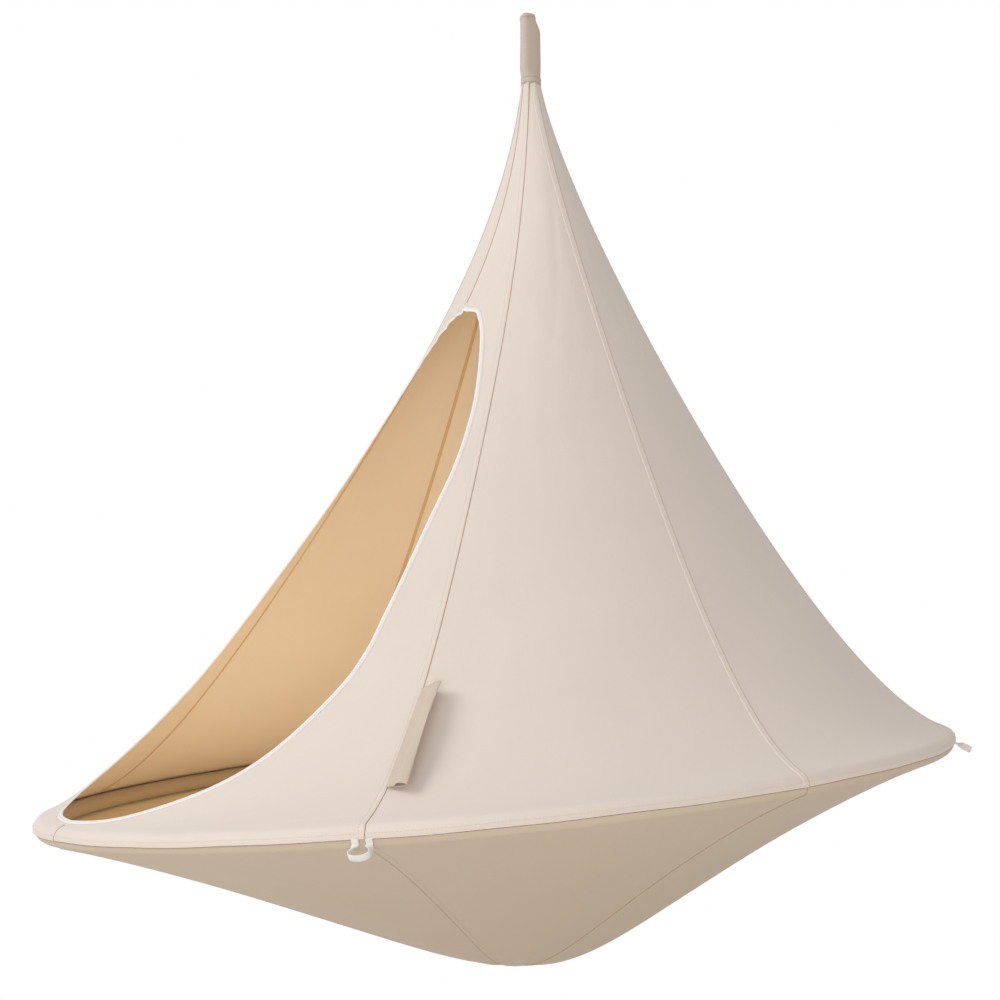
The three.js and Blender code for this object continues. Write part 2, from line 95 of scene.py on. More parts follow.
# The floor's curve from the ring to its lowest point: each handle's share out and share down
FLOOR_HANDLES = (
    ((0.214, 0.219, 0.224), 0.158),
    ((0.641, 0.649, 0.657), 0.659),
    ((0.902, 0.802, 0.702), 1.04),
)
BASE_BELLY = 0.004
BASE_FOLD = 0.0016

# The door's half-width in mm at parts of the way down
DOOR_TOP = 0.244
DOOR_BOTTOM = 0.986
DOOR_OUTLINE = (
    (0, DOOR_TOP), (40, 0.258), (64, 0.277), (98, 0.316), (141, 0.378), (177, 0.436), (212, 0.508),
    (236, 0.578), (277, 0.689), (295, 0.738), (300, 0.785), (284, 0.863), (243, 0.915), (160, 0.96),
    (90, 0.979), (0, DOOR_BOTTOM),
)

RING_CENTRE = np.array([0, -RING_FORWARD, NECK_Z - RING_DROP])
RING_UP = np.array([0, -math.sin(RING_TILT), math.cos(RING_TILT)])
RING_BACK = np.array([0, math.cos(RING_TILT), math.sin(RING_TILT)])
RING_SIDE = np.array([1, 0, 0])


# Small sums on arrays
def unit(v):
    return v / np.maximum(np.linalg.norm(v, axis=-1, keepdims=True), 1e-12)


def mix(a, b, share):
    return a + (b - a) * share


def ease(x):
    x = np.clip(x, 0, 1)
    return x * x * (3 - 2 * x)


def curve(values, t):
    """The value at part t of a smooth curve that starts at the first value and ends at the last."""
    while len(values) > 1:
        values = [mix(a, b, t) for a, b in zip(values, values[1:])]
    return values[0]


# The tent's surfaces
def seam_angle(number):
    """Where a gore starts. It ends where the next one starts."""
    return (number - 1) * GORE_ANGLE


def around(values, angle):
    door, flank, back = values
    c = np.cos(angle)
    return flank * (1 - c * c) + (door + back) / 2 * c * c + (door - back) / 2 * c


def ring_out(angle):
    angle = np.asarray(angle, float)[..., None]
    return RING_SIDE * np.sin(angle) - RING_BACK * np.cos(angle)


def ring_point(angle, distance, tube_angle):
    """A point beside the tube: how far from its centre line, and at what angle above its outer side."""
    angle, distance, tube_angle = np.broadcast_arrays(angle, distance, tube_angle)
    out = ring_out(angle) * (RING_RADIUS + distance * np.cos(tube_angle))[..., None]
    return RING_CENTRE + out + RING_UP * (distance * np.sin(tube_angle))[..., None]


def flat_gore_share(angle):
    half = GORE_ANGLE / 2
    from_seam = np.abs((angle + half) % GORE_ANGLE - half)
    return math.cos(half) / np.cos(half - from_seam)


def canopy(angle, t):
    """The canopy's outer face at a part of the way from the neck (0) to the ring (1)."""
    angle, t = np.broadcast_arrays(np.asarray(angle, float), np.asarray(t, float))
    start = np.stack([np.sin(angle) * NECK_RADIUS, -np.cos(angle) * NECK_RADIUS, 0 * angle + NECK_Z], -1)
    end = ring_point(angle, WRAP_RADIUS, CANOPY_LANDS_AT)
    forward = np.array([0, RING_FORWARD, 0])
    points = [start]
    for out, down, middle in CANOPY_HANDLES:
        share = np.stack([around(out, angle), around(out, angle), around(down, angle)], -1)
        points.append(mix(start, end + forward, share) - forward * middle)
    point = curve([*points, end], t[..., None])
    middle_y = -RING_FORWARD * t
    pull = 1 - GORE_FLATNESS * (1 - t * t) * (1 - flat_gore_share(angle))
    return np.stack([point[..., 0] * pull, middle_y + (point[..., 1] - middle_y) * pull, point[..., 2]], -1)


def floor(angle, t):
    """The floor's outer face from the ring (0) to its lowest point (1)."""
    angle, t = np.broadcast_arrays(np.asarray(angle, float), np.asarray(t, float))
    start = ring_point(angle, WRAP_RADIUS, BASE_LEAVES_AT)
    end = np.array([0, -BASE_BOTTOM_FORWARD, NECK_Z - BASE_DEPTH]) + 0 * start
    points = [start]
    for out, down in FLOOR_HANDLES:
        share = np.stack([around(out, angle), around(out, angle), down + 0 * angle], -1)
        points.append(mix(start, end, share))
    point = curve([*points, end], t[..., None])
    across = angle * GORES
    belly = BASE_BELLY * (1 - np.cos(across)) / 2 * 4 * t * (1 - t)
    fold = BASE_FOLD * np.sin(across * 2) * t ** 3 * (1 - t) * 4
    point[..., 2] -= belly + fold
    return point


def outward(surface, angle, t):
    """The face's direction, away from the tent's inside."""
    step = 1e-4
    t = np.clip(t, step, 1 - step)
    across = surface(angle + step, t) - surface(angle - step, t)
    down = surface(angle, t + step) - surface(angle, t - step)
    normal = unit(np.cross(across, down))
    middle = RING_CENTRE
    sign = np.where(((surface(angle, t) - middle) * normal).sum(-1) < 0, -1.0, 1.0)
    return normal * sign[..., None]


def reach(surface, angle, t):
    """How far the surface is from the tent's middle line, for turning a width into an angle."""
    point = surface(angle, t)
    return np.hypot(point[..., 0], point[..., 1] + RING_FORWARD * t)


# The door's edge
def door_curve(samples=400):
    """Points (half-width in metres, part of the way down) on a smooth curve through the outline."""
    points = np.array(DOOR_OUTLINE, float) * (MM, 1)
    last = len(points) - 1
    place = np.linspace(0, last, samples + 1)
    i = np.minimum(place.astype(int), last - 1)
    w = (place - i)[:, None]
    p0, p1, p2, p3 = (points[np.clip(i + k, 0, last)] for k in (-1, 0, 1, 2))
    v0, v1 = (p2 - p0) / 2, (p3 - p1) / 2
    return (2 * p1 - 2 * p2 + v0 + v1) * w ** 3 + (3 * p2 - 3 * p1 - 2 * v0 - v1) * w ** 2 + v0 * w + p1


DOOR_CURVE = door_curve()


def door_angle(t, gather=0.0):
    """The door edge's angle from the door seam at parts of the way down."""
    inside = (t > DOOR_TOP) & (t < DOOR_BOTTOM)
    half_width = np.where(inside, np.interp(t, DOOR_CURVE[:, 1], DOOR_CURVE[:, 0]) + gather, 0)
    low, high = 0 * t, 0 * t + GORE_ANGLE
    for _ in range(30):
        middle = (low + high) / 2
        short = canopy(middle, t)[..., 0] < half_width
        low, high = np.where(short, middle, low), np.where(short, high, middle)
    return low


# Forms: points and faces, gathered into one mesh
SHARP_ANGLE = 42 * DEG


def volume_of(points, faces):
    total = 0.0
    for f in faces:
        for k in range(1, f.shape[1] - 1):
            a, b, c = points[f[:, 0]], points[f[:, k]], points[f[:, k + 1]]
            total += (a * np.cross(b, c)).sum() / 6
    return total


def quads(index):
    """The faces between neighbouring rows and columns of a grid of point numbers."""
    return np.stack([index[:-1, :-1], index[:-1, 1:], index[1:, 1:], index[1:, :-1]], -1).reshape(-1, 4)


def add_object(name, data):
    obj = bpy.data.objects.new(name, data)
    bpy.context.scene.collection.objects.link(obj)
    return obj


class Form:
    def __init__(self):
        self.points, self.uvs, self.faces, self.slots, self.count = [], [], [], [], 0

    def add(self, points, faces, slots, uvs=None):
        """One closed body. faces is a list of arrays, and slots has each array's material slot."""
        points = np.asarray(points, float).reshape(-1, 3)
        if volume_of(points, faces) < 0:
            faces = [f[:, ::-1] for f in faces]
        self.points.append(points)
        self.uvs.append(np.zeros((len(points), 2)) if uvs is None else np.asarray(uvs, float).reshape(-1, 2))
        for f, s in zip(faces, slots):
            self.faces += (f + self.count).tolist()
            self.slots += [s] * len(f)
        self.count += len(points)
        return self

    def shell(self, outer, inner, uvs=None, wrap_columns=False, slots=(0, 1, 0)):
        """A sheet with thickness, between two grids of points. slots: outer face, inner face and edges."""
        rows, columns = outer.shape[:2]
        n = rows * columns
        index = np.arange(n).reshape(rows, columns)
        borders = [np.concatenate([index[0, ::-1], index[1:, 0], index[-1, 1:], index[-2::-1, -1]])]
        if wrap_columns:
            index = np.hstack([index, index[:, :1]])
            borders = [index[0, ::-1], index[-1]]
        face = quads(index)
        walls = np.concatenate([np.stack([b[:-1], b[1:], b[1:] + n, b[:-1] + n], -1) for b in borders])
        both = np.concatenate([outer.reshape(-1, 3), inner.reshape(-1, 3)])
        double = None if uvs is None else np.concatenate([uvs.reshape(-1, 2)] * 2)
        return self.add(both, [face, face[:, ::-1] + n, walls], slots, double)

    def tube(self, grid, closed=False):
        """A body swept along rows, each row a ring of points. closed joins the last row to the first."""
        index = np.arange(grid.shape[0] * grid.shape[1]).reshape(grid.shape[:2])
        index = np.hstack([index, index[:, :1]])
        if closed:
            faces = [quads(np.vstack([index, index[:1]]))]
        else:
            faces = [quads(index), index[:1, -2::-1], index[-1:, :-1]]
        return self.add(grid, faces, [0] * len(faces))

    def piece(self, name, materials, body="tent", replaces=(), slot="canvas"):
        mesh = bpy.data.meshes.new(name)
        mesh.from_pydata(np.concatenate(self.points).tolist(), [], self.faces)
        for material in materials:
            mesh.materials.append(material)
        mesh.polygons.foreach_set("use_smooth", np.ones(len(self.faces), bool))
        mesh.polygons.foreach_set("material_index", np.array(self.slots, np.int32))
        corner = np.zeros(len(mesh.loops), np.int32)
        mesh.loops.foreach_get("vertex_index", corner)
        layer = mesh.uv_layers.new(name="cloth")
        layer.data.foreach_set("uv", np.concatenate(self.uvs)[corner].astype(np.float32).ravel())
        mesh.set_sharp_from_angle(angle=SHARP_ANGLE)
        mesh.update()
        obj = add_object(name, mesh)
        if body:
            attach(obj, body)
        if replaces:
            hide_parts(*replaces)
        return obj


def lengths(line):
    """How far along a line of points each one is."""
    return np.concatenate([[0], np.cumsum(np.linalg.norm(np.diff(line, axis=0), axis=1))])


def resample(line, along, *others):
    """The line, and values given at its points, at distances along it."""
    at = lengths(line)
    out = []
    for values in (line, *others):
        out.append(np.stack([np.interp(along, at, values[:, k]) for k in range(values.shape[1])], -1))
    return out


def sweep(path, side, normal, profile):
    """The profile's points (along side, along normal), carried along a path."""
    profile = np.broadcast_to(profile, (len(path), *np.shape(profile)[-2:]))
    return path[:, None] + side[:, None] * profile[..., :1] + normal[:, None] * profile[..., 1:]


def rounded_strip(width, thickness, bottom, corner):
    """A strip's cross-section, rounded at its two sides, from its bottom up."""
    r = thickness / 2
    turn = np.linspace(-math.pi / 2, math.pi / 2, corner + 2)
    right = np.stack([width / 2 - r + r * np.cos(turn), bottom + r + r * np.sin(turn)], -1)
    left = np.stack([-right[:, 0], 2 * (bottom + r) - right[:, 1]], -1)
    return np.concatenate([right, left])


# Stitches
STITCH = 0.0032
STITCH_PITCH = 0.0046
THREAD = 0.00042


def stitches(form, line, normals, slot, pitch=STITCH_PITCH, length=STITCH, thick=THREAD):
    """A row of stitches: short lengths of thread lying in the cloth along a line."""
    total = lengths(line)[-1]
    count = int(total / pitch)
    if count < 1:
        return form
    along = (np.arange(count) + 0.5) * total / count
    centre, normal = resample(line, along, normals)
    ahead, behind = resample(line, along + length / 4)[0], resample(line, along - length / 4)[0]
    run = unit(ahead - behind)
    normal = unit(normal - run * (normal * run).sum(-1, keepdims=True))
    side = np.cross(run, normal)
    turn = np.arange(4) * math.pi / 2
    ring = side[:, None] * np.cos(turn)[:, None] + normal[:, None] * np.sin(turn)[:, None]
    ends = [centre - run * length / 2, centre + run * length / 2]
    rings = [centre[:, None] + run[:, None] * length * k + ring * thick for k in (-0.32, 0.32)]
    dips = [e - normal * thick for e in ends]
    points = np.concatenate([dips[0][:, None], rings[0], rings[1], dips[1][:, None]], 1)
    first = (np.arange(count) * 10)[:, None]
    k = np.arange(4)
    following = (k + 1) % 4
    cap0 = np.stack([0 * k, 1 + following, 1 + k], -1)
    side_faces = np.stack([1 + k, 1 + following, 5 + following, 5 + k], -1)
    cap1 = np.stack([0 * k + 9, 5 + k, 5 + following], -1)
    faces = [(first[..., None] + f[None]).reshape(-1, f.shape[-1]) for f in (cap0, side_faces, cap1)]
    return form.add(points, faces, [slot] * 3)


# Materials
def new_material(name):
    material = bpy.data.materials.new(name)
    material.use_nodes = True
    tree = material.node_tree
    return material, tree, tree.nodes["Principled BSDF"]


def linear(colour):
    """A colour of 0 to 255 as Blender's linear numbers."""
    c = np.array(colour, float) / 255
    return tuple(np.where(c <= 0.04045, c / 12.92, ((c + 0.055) / 1.055) ** 2.4)) + (1.0,)


def set_values(made, values):
    for key, value in values.items():
        if key in made.inputs:
            made.inputs[key].default_value = value
        else:
            setattr(made, key, value)


def node(tree, kind, **values):
    made = tree.nodes.new(kind)
    set_values(made, values)
    return made


def math_node(tree, operation, a, b=None):
    made = tree.nodes.new("ShaderNodeMath")
    made.operation = operation
    for i, value in enumerate((a, b)):
        if value is None:
            continue
        if isinstance(value, (int, float)):
            made.inputs[i].default_value = value
        else:
            tree.links.new(value, made.inputs[i])
    return made.outputs[0]


def noise(tree, source, scale, stretch=(1, 1, 1), detail=2.0, roughness=0.5):
    mapping = node(tree, "ShaderNodeMapping")
    mapping.inputs["Scale"].default_value = stretch
    tree.links.new(source, mapping.inputs["Vector"])
    made = node(tree, "ShaderNodeTexNoise", Scale=scale, Detail=detail, Roughness=roughness)
    tree.links.new(mapping.outputs[0], made.inputs["Vector"])
    return made.outputs["Fac"]


def bump_node(tree, height, strength, distance, under=None):
    """Relief in the shading, laid over what is under it."""
    made = node(tree, "ShaderNodeBump", Strength=strength, Distance=distance)
    tree.links.new(height, made.inputs["Height"])
    if under is not None:
        tree.links.new(under, made.inputs["Normal"])
    return made.outputs[0]


YARN_SCALE = 700.0
ALONG_YARN = 0.06                     # how much slower a yarn varies along itself
YARN_TONE = 0.35                      # the yarns' share in the tone, beside the slow variation
SLOW_SCALE = 5.0
FINE_RELIEF = 0.0002
CREASE_RELIEF = 0.004
CREASE_STRETCH = (46, 7, 46)
GRAIN_SCALE = 900.0


def cloth_material(name, colour, varied=0.03, weave=0.25, creased=0.0, sheen=0.15, coordinates="UV"):
    """Woven cloth: two crossed sets of yarns, slow variation of tone, and soft creases across its width."""
    material, tree, shader = new_material(name)
    place = tree.nodes.new("ShaderNodeTexCoord").outputs[coordinates]
    warp = noise(tree, place, YARN_SCALE, (1, ALONG_YARN, 1))
    weft = noise(tree, place, YARN_SCALE, (ALONG_YARN, 1, 1))
    yarns = math_node(tree, "ADD", warp, weft)
    slow = noise(tree, place, SLOW_SCALE, detail=3.0)
    tone = math_node(tree, "ADD", math_node(tree, "MULTIPLY", yarns, YARN_TONE), slow)
    ramp = node(tree, "ShaderNodeMapRange", **{"From Min": 0.45, "From Max": 1.25})
    tree.links.new(tone, ramp.inputs["Value"])
    blend = node(tree, "ShaderNodeMix", data_type="RGBA")
    tree.links.new(ramp.outputs[0], blend.inputs["Factor"])
    dark, light = (np.array(linear(colour)[:3]) * (1 + k * varied) for k in (-1, 1))
    blend.inputs[6].default_value = (*dark, 1)
    blend.inputs[7].default_value = (*np.minimum(light, 1), 1)
    tree.links.new(blend.outputs[2], shader.inputs["Base Color"])
    raised = bump_node(tree, yarns, weave, FINE_RELIEF)
    if creased:
        ripple = noise(tree, place, 1.0, CREASE_STRETCH, roughness=0.45)
        raised = bump_node(tree, ripple, creased, CREASE_RELIEF, raised)
    tree.links.new(raised, shader.inputs["Normal"])
    finish = {"Roughness": 0.86, "Sheen Weight": sheen, "Sheen Roughness": 0.5, "Specular IOR Level": 0.3}
    set_values(shader, finish)
    return material


def plain_material(name, colour, rough=0.6, metal=0.0):
    material, tree, shader = new_material(name)
    place = tree.nodes.new("ShaderNodeTexCoord").outputs["Object"]
    grain = bump_node(tree, noise(tree, place, GRAIN_SCALE), 0.2, FINE_RELIEF)
    tree.links.new(grain, shader.inputs["Normal"])
    set_values(shader, {"Base Color": linear(colour), "Roughness": rough, "Metallic": metal})
    return material


CANVAS = cloth_material("canvas", (224, 212, 202), creased=0.12)
# The inside faces are tinted tan: painted light, standing for daylight shining through the cloth.
CANVAS_INSIDE_PAINTED_LIGHT = cloth_material("canvas_inside_painted_light", (227, 211, 188), creased=0.12, sheen=0.0)
FLOOR_OUTSIDE = cloth_material("floor_cloth", (208, 191, 172), creased=0.15, weave=0.3)
# The floor's inside is tinted tan: painted light, standing for daylight shining through the cloth.
FLOOR_INSIDE_PAINTED_LIGHT = cloth_material("floor_cloth_inside_painted_light", (238, 215, 174), creased=0.15, sheen=0.0)
# The sleeve is a darker tan: painted shade, where the tube keeps the daylight from shining through the
# cloth.
SLEEVE_PAINTED_SHADE = cloth_material("sleeve_cloth_painted_shade", (178, 154, 118), coordinates="Object")
TAPE_CLOTH = cloth_material("seam_tape", (206, 174, 128), coordinates="Object")
# The sock, its band and its hem get a darker, warmer copy of the canvas colour: painted shade.
SOCK_PAINTED_SHADE = cloth_material("sock_cloth_painted_shade", (197, 182, 169), creased=0.12)
THREAD_LIGHT = plain_material("thread_light", (210, 195, 181))
# Tan thread: real stitches on the sock and strap, and at the hem's edge partly painted shadow of the hem's
# fold.
TAN_THREAD_AND_SHADOW = plain_material("tan_thread_and_painted_shadow", (150, 112, 74))
# Brown line at the felled seams' feet: partly thread, partly painted shadow of the folds' edges.
SEAM_THREAD_AND_SHADOW = plain_material("seam_thread_and_painted_shadow", (176, 145, 116))
# Dark brown row inside over the sleeve: partly stitches, partly painted shadow of the gap where the canopy
# meets the sleeve.
DARK_THREAD_AND_SHADOW = plain_material("dark_thread_and_painted_shadow", (128, 80, 50))
BINDING = cloth_material("binding_tape", (238, 236, 236), coordinates="Object", varied=0.004, weave=0.06)
WEBBING = cloth_material("webbing", (232, 230, 227), coordinates="Object", varied=0.015)
ALUMINIUM = plain_material("aluminium", (190, 192, 196), rough=0.35, metal=1.0)

# Rows down the canopy and columns across a gore. Above the neck the cloth runs up under the band,
# at -1 to 0, and past the ring it laps the tube down to the hem's edge, at 1 to 2.
COLUMNS = 48
HEM_WIDTH = 0.36                      # of the lap
collar_rows = np.array([-1.0, -0.5])
rows_above_door = np.linspace(0, DOOR_TOP, 44, endpoint=False)
rows_at_door = mix(DOOR_TOP, DOOR_BOTTOM, (1 - np.cos(np.linspace(0, math.pi, 110))) / 2)
hem_step = 1 - HEM_WIDTH + np.array([-0.01, 0.01])
lap_rows = 1 + np.concatenate([[0.0, 0.16, 0.32, 0.48, 0.6], hem_step, [0.76, 0.88, 1.0]])
CANOPY_ROWS = np.concatenate([collar_rows, rows_above_door, rows_at_door, [0.993], lap_rows])


# Relief of the canopy's cloth
COLLAR_RADIUS = 0.0161
COLLAR_HEIGHT = 0.008
HEM_PROUD = 0.0008
PLEAT = 0.0008
PLEAT_REACH = 0.035                   # part of the way down
SLACK = 0.00012
SLACK_AT = 0.42
SLACK_SPREAD = 0.2
PUCKER = 0.0026
PUCKER_PITCH = 0.027
PUCKER_ALONG = 0.12
PUCKER_REACH = 0.016
# Creases: the two ends, each in degrees from the door and part of the way down, then the height and
# the half-width in mm
CREASES = (
    ((82, 0.15), (67, 0.4), -0.7, 7),
    ((50, 0.26), (71, 0.41), 0.6, 8),
    ((38, 0.13), (41, 0.24), -0.5, 5),
    ((32, 0.16), (36, 0.27), 0.4, 6),
    ((24, 0.36), (40, 0.52), 0.3, 14),
    ((52, 0.42), (60, 0.58), -0.3, 12),
    ((64, 0.40), (70, 0.56), 0.3, 13),
    ((97, 0.35), (100, 0.55), -0.35, 14),
    ((108, 0.3), (116, 0.5), 0.3, 16),
    ((300, 0.2), (310, 0.36), -0.5, 9),
    ((160, 0.2), (168, 0.42), -0.5, 10),
    ((205, 0.16), (199, 0.34), 0.5, 9),
    ((250, 0.3), (240, 0.5), -0.4, 12),
)
CREASE_ENDS = 0.03
SEAM_PUCKER = 0.0005
SEAM_PUCKER_WIDTH = 0.014
SEAM_PUCKER_PITCH = 0.011             # part of the way down


def gathers(along):
    """How far the door's edge is drawn up by its binding, at distances along it from the door's top."""
    turn = 2 * math.pi * along / PUCKER_PITCH
    wave = np.sin(turn) + 0.5 * np.sin(turn / 1.63 + 1)
    return PUCKER * wave * np.exp(-(along / PUCKER_ALONG) ** 2)


EDGE_T = rows_at_door[1:-1]
EDGE_ALONG = lengths(canopy(door_angle(EDGE_T), EDGE_T))
EDGE_GATHER = 0.6
SIDE_GATHER = {1: 0.15, -1: 0.7}


def door_edge(side):
    """The cloth's edge at the door on one side, as angles at the door's rows."""
    return side * door_angle(EDGE_T, SIDE_GATHER[side] * EDGE_GATHER * gathers(EDGE_ALONG))


def puckers(point):
    """The cloth stands in small waves beside the upper part of the door's edge."""
    height = np.zeros(point.shape[:-1])
    upper = EDGE_ALONG < 2.5 * PUCKER_ALONG
    for side in (1, -1):
        edge = canopy(door_edge(side)[upper], EDGE_T[upper])
        near = (np.sign(point[..., 0] + 1e-9) == side) & (point[..., 2] > edge[:, 2].min())
        near &= point[..., 1] < 0
        chosen = point[near]
        if not len(chosen):
            continue
        away = np.linalg.norm(chosen[:, None] - edge[None], axis=-1)
        nearest = away.argmin(1)
        share = np.exp(-away.min(1) / PUCKER_REACH)
        height[near] = SIDE_GATHER[side] * gathers(EDGE_ALONG[upper][nearest] + 0.4 * PUCKER_PITCH) * share
    return height


def creases(angle, t):
    height = 0 * t
    for (angle0, t0), (angle1, t1), rise, width in CREASES:
        along = (t - t0) / (t1 - t0)
        aside = (angle - mix(angle0, angle1, along) * DEG) * reach(canopy, angle, t)
        ends = ease((t - t0) / CREASE_ENDS + 0.5) * ease((t1 - t) / CREASE_ENDS + 0.5)
        height = height + rise * MM * np.exp(-(aside / (width * MM)) ** 2) * ends
    return height


def seam_puckers(angle, t):
    """The seams' stitching draws the cloth up in short waves beside them, here and there."""
    aside = ((angle + GORE_ANGLE / 2) % GORE_ANGLE - GORE_ANGLE / 2) * reach(canopy, angle, t)
    seam = np.round(angle / GORE_ANGLE)
    here = np.clip(np.sin(9 * t + 2.1 * seam) + 0.4 * np.sin(23 * t + seam), 0, 1)
    here = here * ease(t / 0.2) * ease((1 - t) / 0.1)
    wave = np.sin(2 * math.pi * t / SEAM_PUCKER_PITCH + 3 * np.sin(17 * t))
    beside = np.abs(aside) / SEAM_PUCKER_WIDTH
    return SEAM_PUCKER * wave * here * beside * np.exp(1 - beside) * 0.6


def relief(angle, t):
    pleats = np.sin(11 * angle + 1.4 * np.sin(3 * angle)) + 0.5 * np.sin(17 * angle + 2)
    drape = np.sin(5 * GORES * angle + 5 * t + 2 * np.sin(2 * angle)) + np.sin(29 * angle - 8 * t)
    slack = SLACK * drape * np.exp(-((t - SLACK_AT) / SLACK_SPREAD) ** 2)
    folds = PLEAT * pleats * np.exp(-t / PLEAT_REACH)
    return folds + slack + creases(angle, t) + seam_puckers(angle, t) + puckers(canopy(angle, t))


def hem_wave(angle):
    """The hem's edge isn't quite level."""
    return (1.6 * np.sin(11 * angle + 1) + 1.2 * np.sin(27 * angle)) * DEG


def hem_height(t):
    """The hem is turned up double, so it stands a little prouder than the cloth above it."""
    return np.where(t > 2 - HEM_WIDTH, HEM_PROUD, 0.0)


def canopy_cloth(angle, t, height=0.0):
    """The canopy's outer face with its relief, at any row from -1 to 2."""
    angle, t, height = np.broadcast_arrays(np.asarray(angle, float), np.asarray(t, float), height)
    spread_t = np.clip(t, 0, 1)
    fade = ease((1 - spread_t) / 0.02)
    lift = (relief(angle, spread_t) * fade + height)[..., None]
    spread = canopy(angle, spread_t) + outward(canopy, angle, spread_t) * lift
    lap = np.clip(t - 1, 0, 1)
    tube_angle = mix(CANOPY_LANDS_AT, HEM_AT, lap) + ease(lap) * hem_wave(angle)
    lapped = ring_point(angle, WRAP_RADIUS + height, tube_angle)
    up = np.clip(-t, 0, 1)
    radius = mix(NECK_RADIUS, COLLAR_RADIUS, up) + height
    collar = np.stack([np.sin(angle) * radius, -np.cos(angle) * radius, NECK_Z + COLLAR_HEIGHT * up], -1)
    return np.where((t < 0)[..., None], collar, np.where((t > 1)[..., None], lapped, spread))


# Canopy gores
def gore_angles(low, high):
    """The angles of a gore's columns, from one side to the other at each row."""
    return mix(low[:, None], high[:, None], np.linspace(0, 1, COLUMNS + 1))


def canopy_angles(number):
    """A canopy gore runs from seam to seam, or between a seam and the door's edge."""
    low, high = seam_angle(number) + 0 * CANOPY_ROWS, seam_angle(number + 1) + 0 * CANOPY_ROWS
    top = len(collar_rows) + len(rows_above_door)
    at_door = slice(top + 1, top + len(rows_at_door) - 1)
    if number == 1:
        low[at_door] = door_edge(1)
    if number == GORES:
        high[at_door] = 2 * math.pi + door_edge(-1)
    return gore_angles(low, high)


def gore_piece(part, number, outer, inner, materials, slot):
    """A gore's cloth. Its weave is laid out by distances across it and down its middle."""
    down = lengths(outer[:, COLUMNS // 2])[:, None]
    width = np.linalg.norm(outer - outer[:, :1], axis=-1)
    form = Form().shell(outer, inner, np.stack([width, down + 0 * width], -1))
    name = f"{part}_gore_{number}"
    return form.piece(f"{name}_cloth", materials, replaces=[name], slot=slot)


def canopy_gore(number):
    angle, rows = canopy_angles(number), CANOPY_ROWS[:, None]
    outer = canopy_cloth(angle, rows, hem_height(rows))
    inner = canopy_cloth(angle, rows, -CLOTH)
    return gore_piece("canopy", number, outer, inner, [CANVAS, CANVAS_INSIDE_PAINTED_LIGHT], "canvas")


# Strips of cloth over or under a seam
FELL_WIDTH = 0.0092
FELL_HEIGHT = 0.0009
FLOOR_FELL_HEIGHT = 0.0005
FELL_COLUMNS = np.array([-0.03, 0, 0.05, 0.15, 0.5, 0.85, 0.95, 1.0])
FELL_SECTION = np.array([0.1, 0.8, 1.0, 0.9, 0.8, 0.9, 0.7, 0.1])
FELL_STITCHES = (0.17, 0.83)
SEAM_THREAD = {"pitch": 0.0036, "length": 0.0036, "thick": 0.0004}
SEAM_LINE_ASIDE = 0.0006              # the seam thread at the foot of the fold, brown enough to be the fold's painted shadow line too
SEAM_LINE_HEIGHT = 0.0003
SEAM_ABOVE_DOOR = DOOR_TOP - 0.004    # where the door's seam stops
SEAM_BELOW_DOOR = DOOR_BOTTOM + 0.003
STRIP_SUNK = 0.0004                   # a strip's underside, in the cloth that it is sewn to
TAPE_FROM = 0.12
CANOPY_TAPE_TO = 0.99
FLOOR_TAPE_TO = 0.72
TAPE_WIDTH = 0.0076
TAPE_HEIGHT = 0.0008
TAPE_SECTION = np.array([0.1, 0.9, 1.0, 1.0, 1.0, 0.9, 0.1])


def surface_strip(form, cloth, middle, seam, rows, across, heights, more=0.0):
    """A strip that follows a surface beside a seam. across and heights say where its columns run."""
    room = reach(middle, seam, np.clip(rows, 0, 1))
    scale = np.minimum(1, room * GORE_ANGLE / 2 / np.abs(across).max())
    angle = seam + across[None] * (scale / np.maximum(room, 1e-4))[:, None]
    t = np.broadcast_to(rows[:, None], angle.shape)
    lift = np.broadcast_to(np.asarray(more + 0 * rows)[:, None], angle.shape)
    outer = cloth(angle, t, heights[None] + lift)
    inner = cloth(angle, t, np.minimum(heights, 0)[None] - STRIP_SUNK + lift)
    return form.shell(outer, inner, slots=(0, 0, 0))


def fell(part, number, cloth, middle, spans, side, height, lift, material, slot):
    """A flat-felled seam outside: its fold, two rows of stitches and at its foot a brown line, partly the
    seam's thread and partly painted shadow of the fold's edge.
    """
    form, seam = Form(), seam_angle(number)
    for rows in spans:
        more = lift(rows)
        across = side * FELL_WIDTH * FELL_COLUMNS
        surface_strip(form, cloth, middle, seam, rows, across, height * FELL_SECTION, more)
        room = reach(middle, seam, np.clip(rows, 0, 1))
        scale = np.minimum(1, room * GORE_ANGLE / 2 / FELL_WIDTH)
        for share in FELL_STITCHES:
            angle = seam + side * FELL_WIDTH * share * scale / room
            line = cloth(angle, rows, height * 0.9 + more)
            stitches(form, line, cloth(angle, rows, height + more + MM) - line, 1)
        foot = seam - side * SEAM_LINE_ASIDE / room
        line = cloth(foot, rows, more + SEAM_LINE_HEIGHT)
        # the line at the fold's foot: seam thread that also paints the fold's shadow line
        stitches(form, line, cloth(foot, rows, more + MM) - line, 2, **SEAM_THREAD)
    return form.piece(f"{part}_seam_{number}", [material, THREAD_LIGHT, SEAM_THREAD_AND_SHADOW], slot=slot)


def seam_tape(part, number, cloth, middle, rows):
    """A tape over a seam, on the inside."""
    across = TAPE_WIDTH * np.linspace(-0.5, 0.5, len(TAPE_SECTION))
    heights = -CLOTH - TAPE_HEIGHT * TAPE_SECTION
    form = surface_strip(Form(), cloth, middle, seam_angle(number), rows, across, heights)
    name = f"{part}_seam_tape_{number}"
    return form.piece(f"{name}_cloth", [TAPE_CLOTH], replaces=[name], slot="seam_tape")


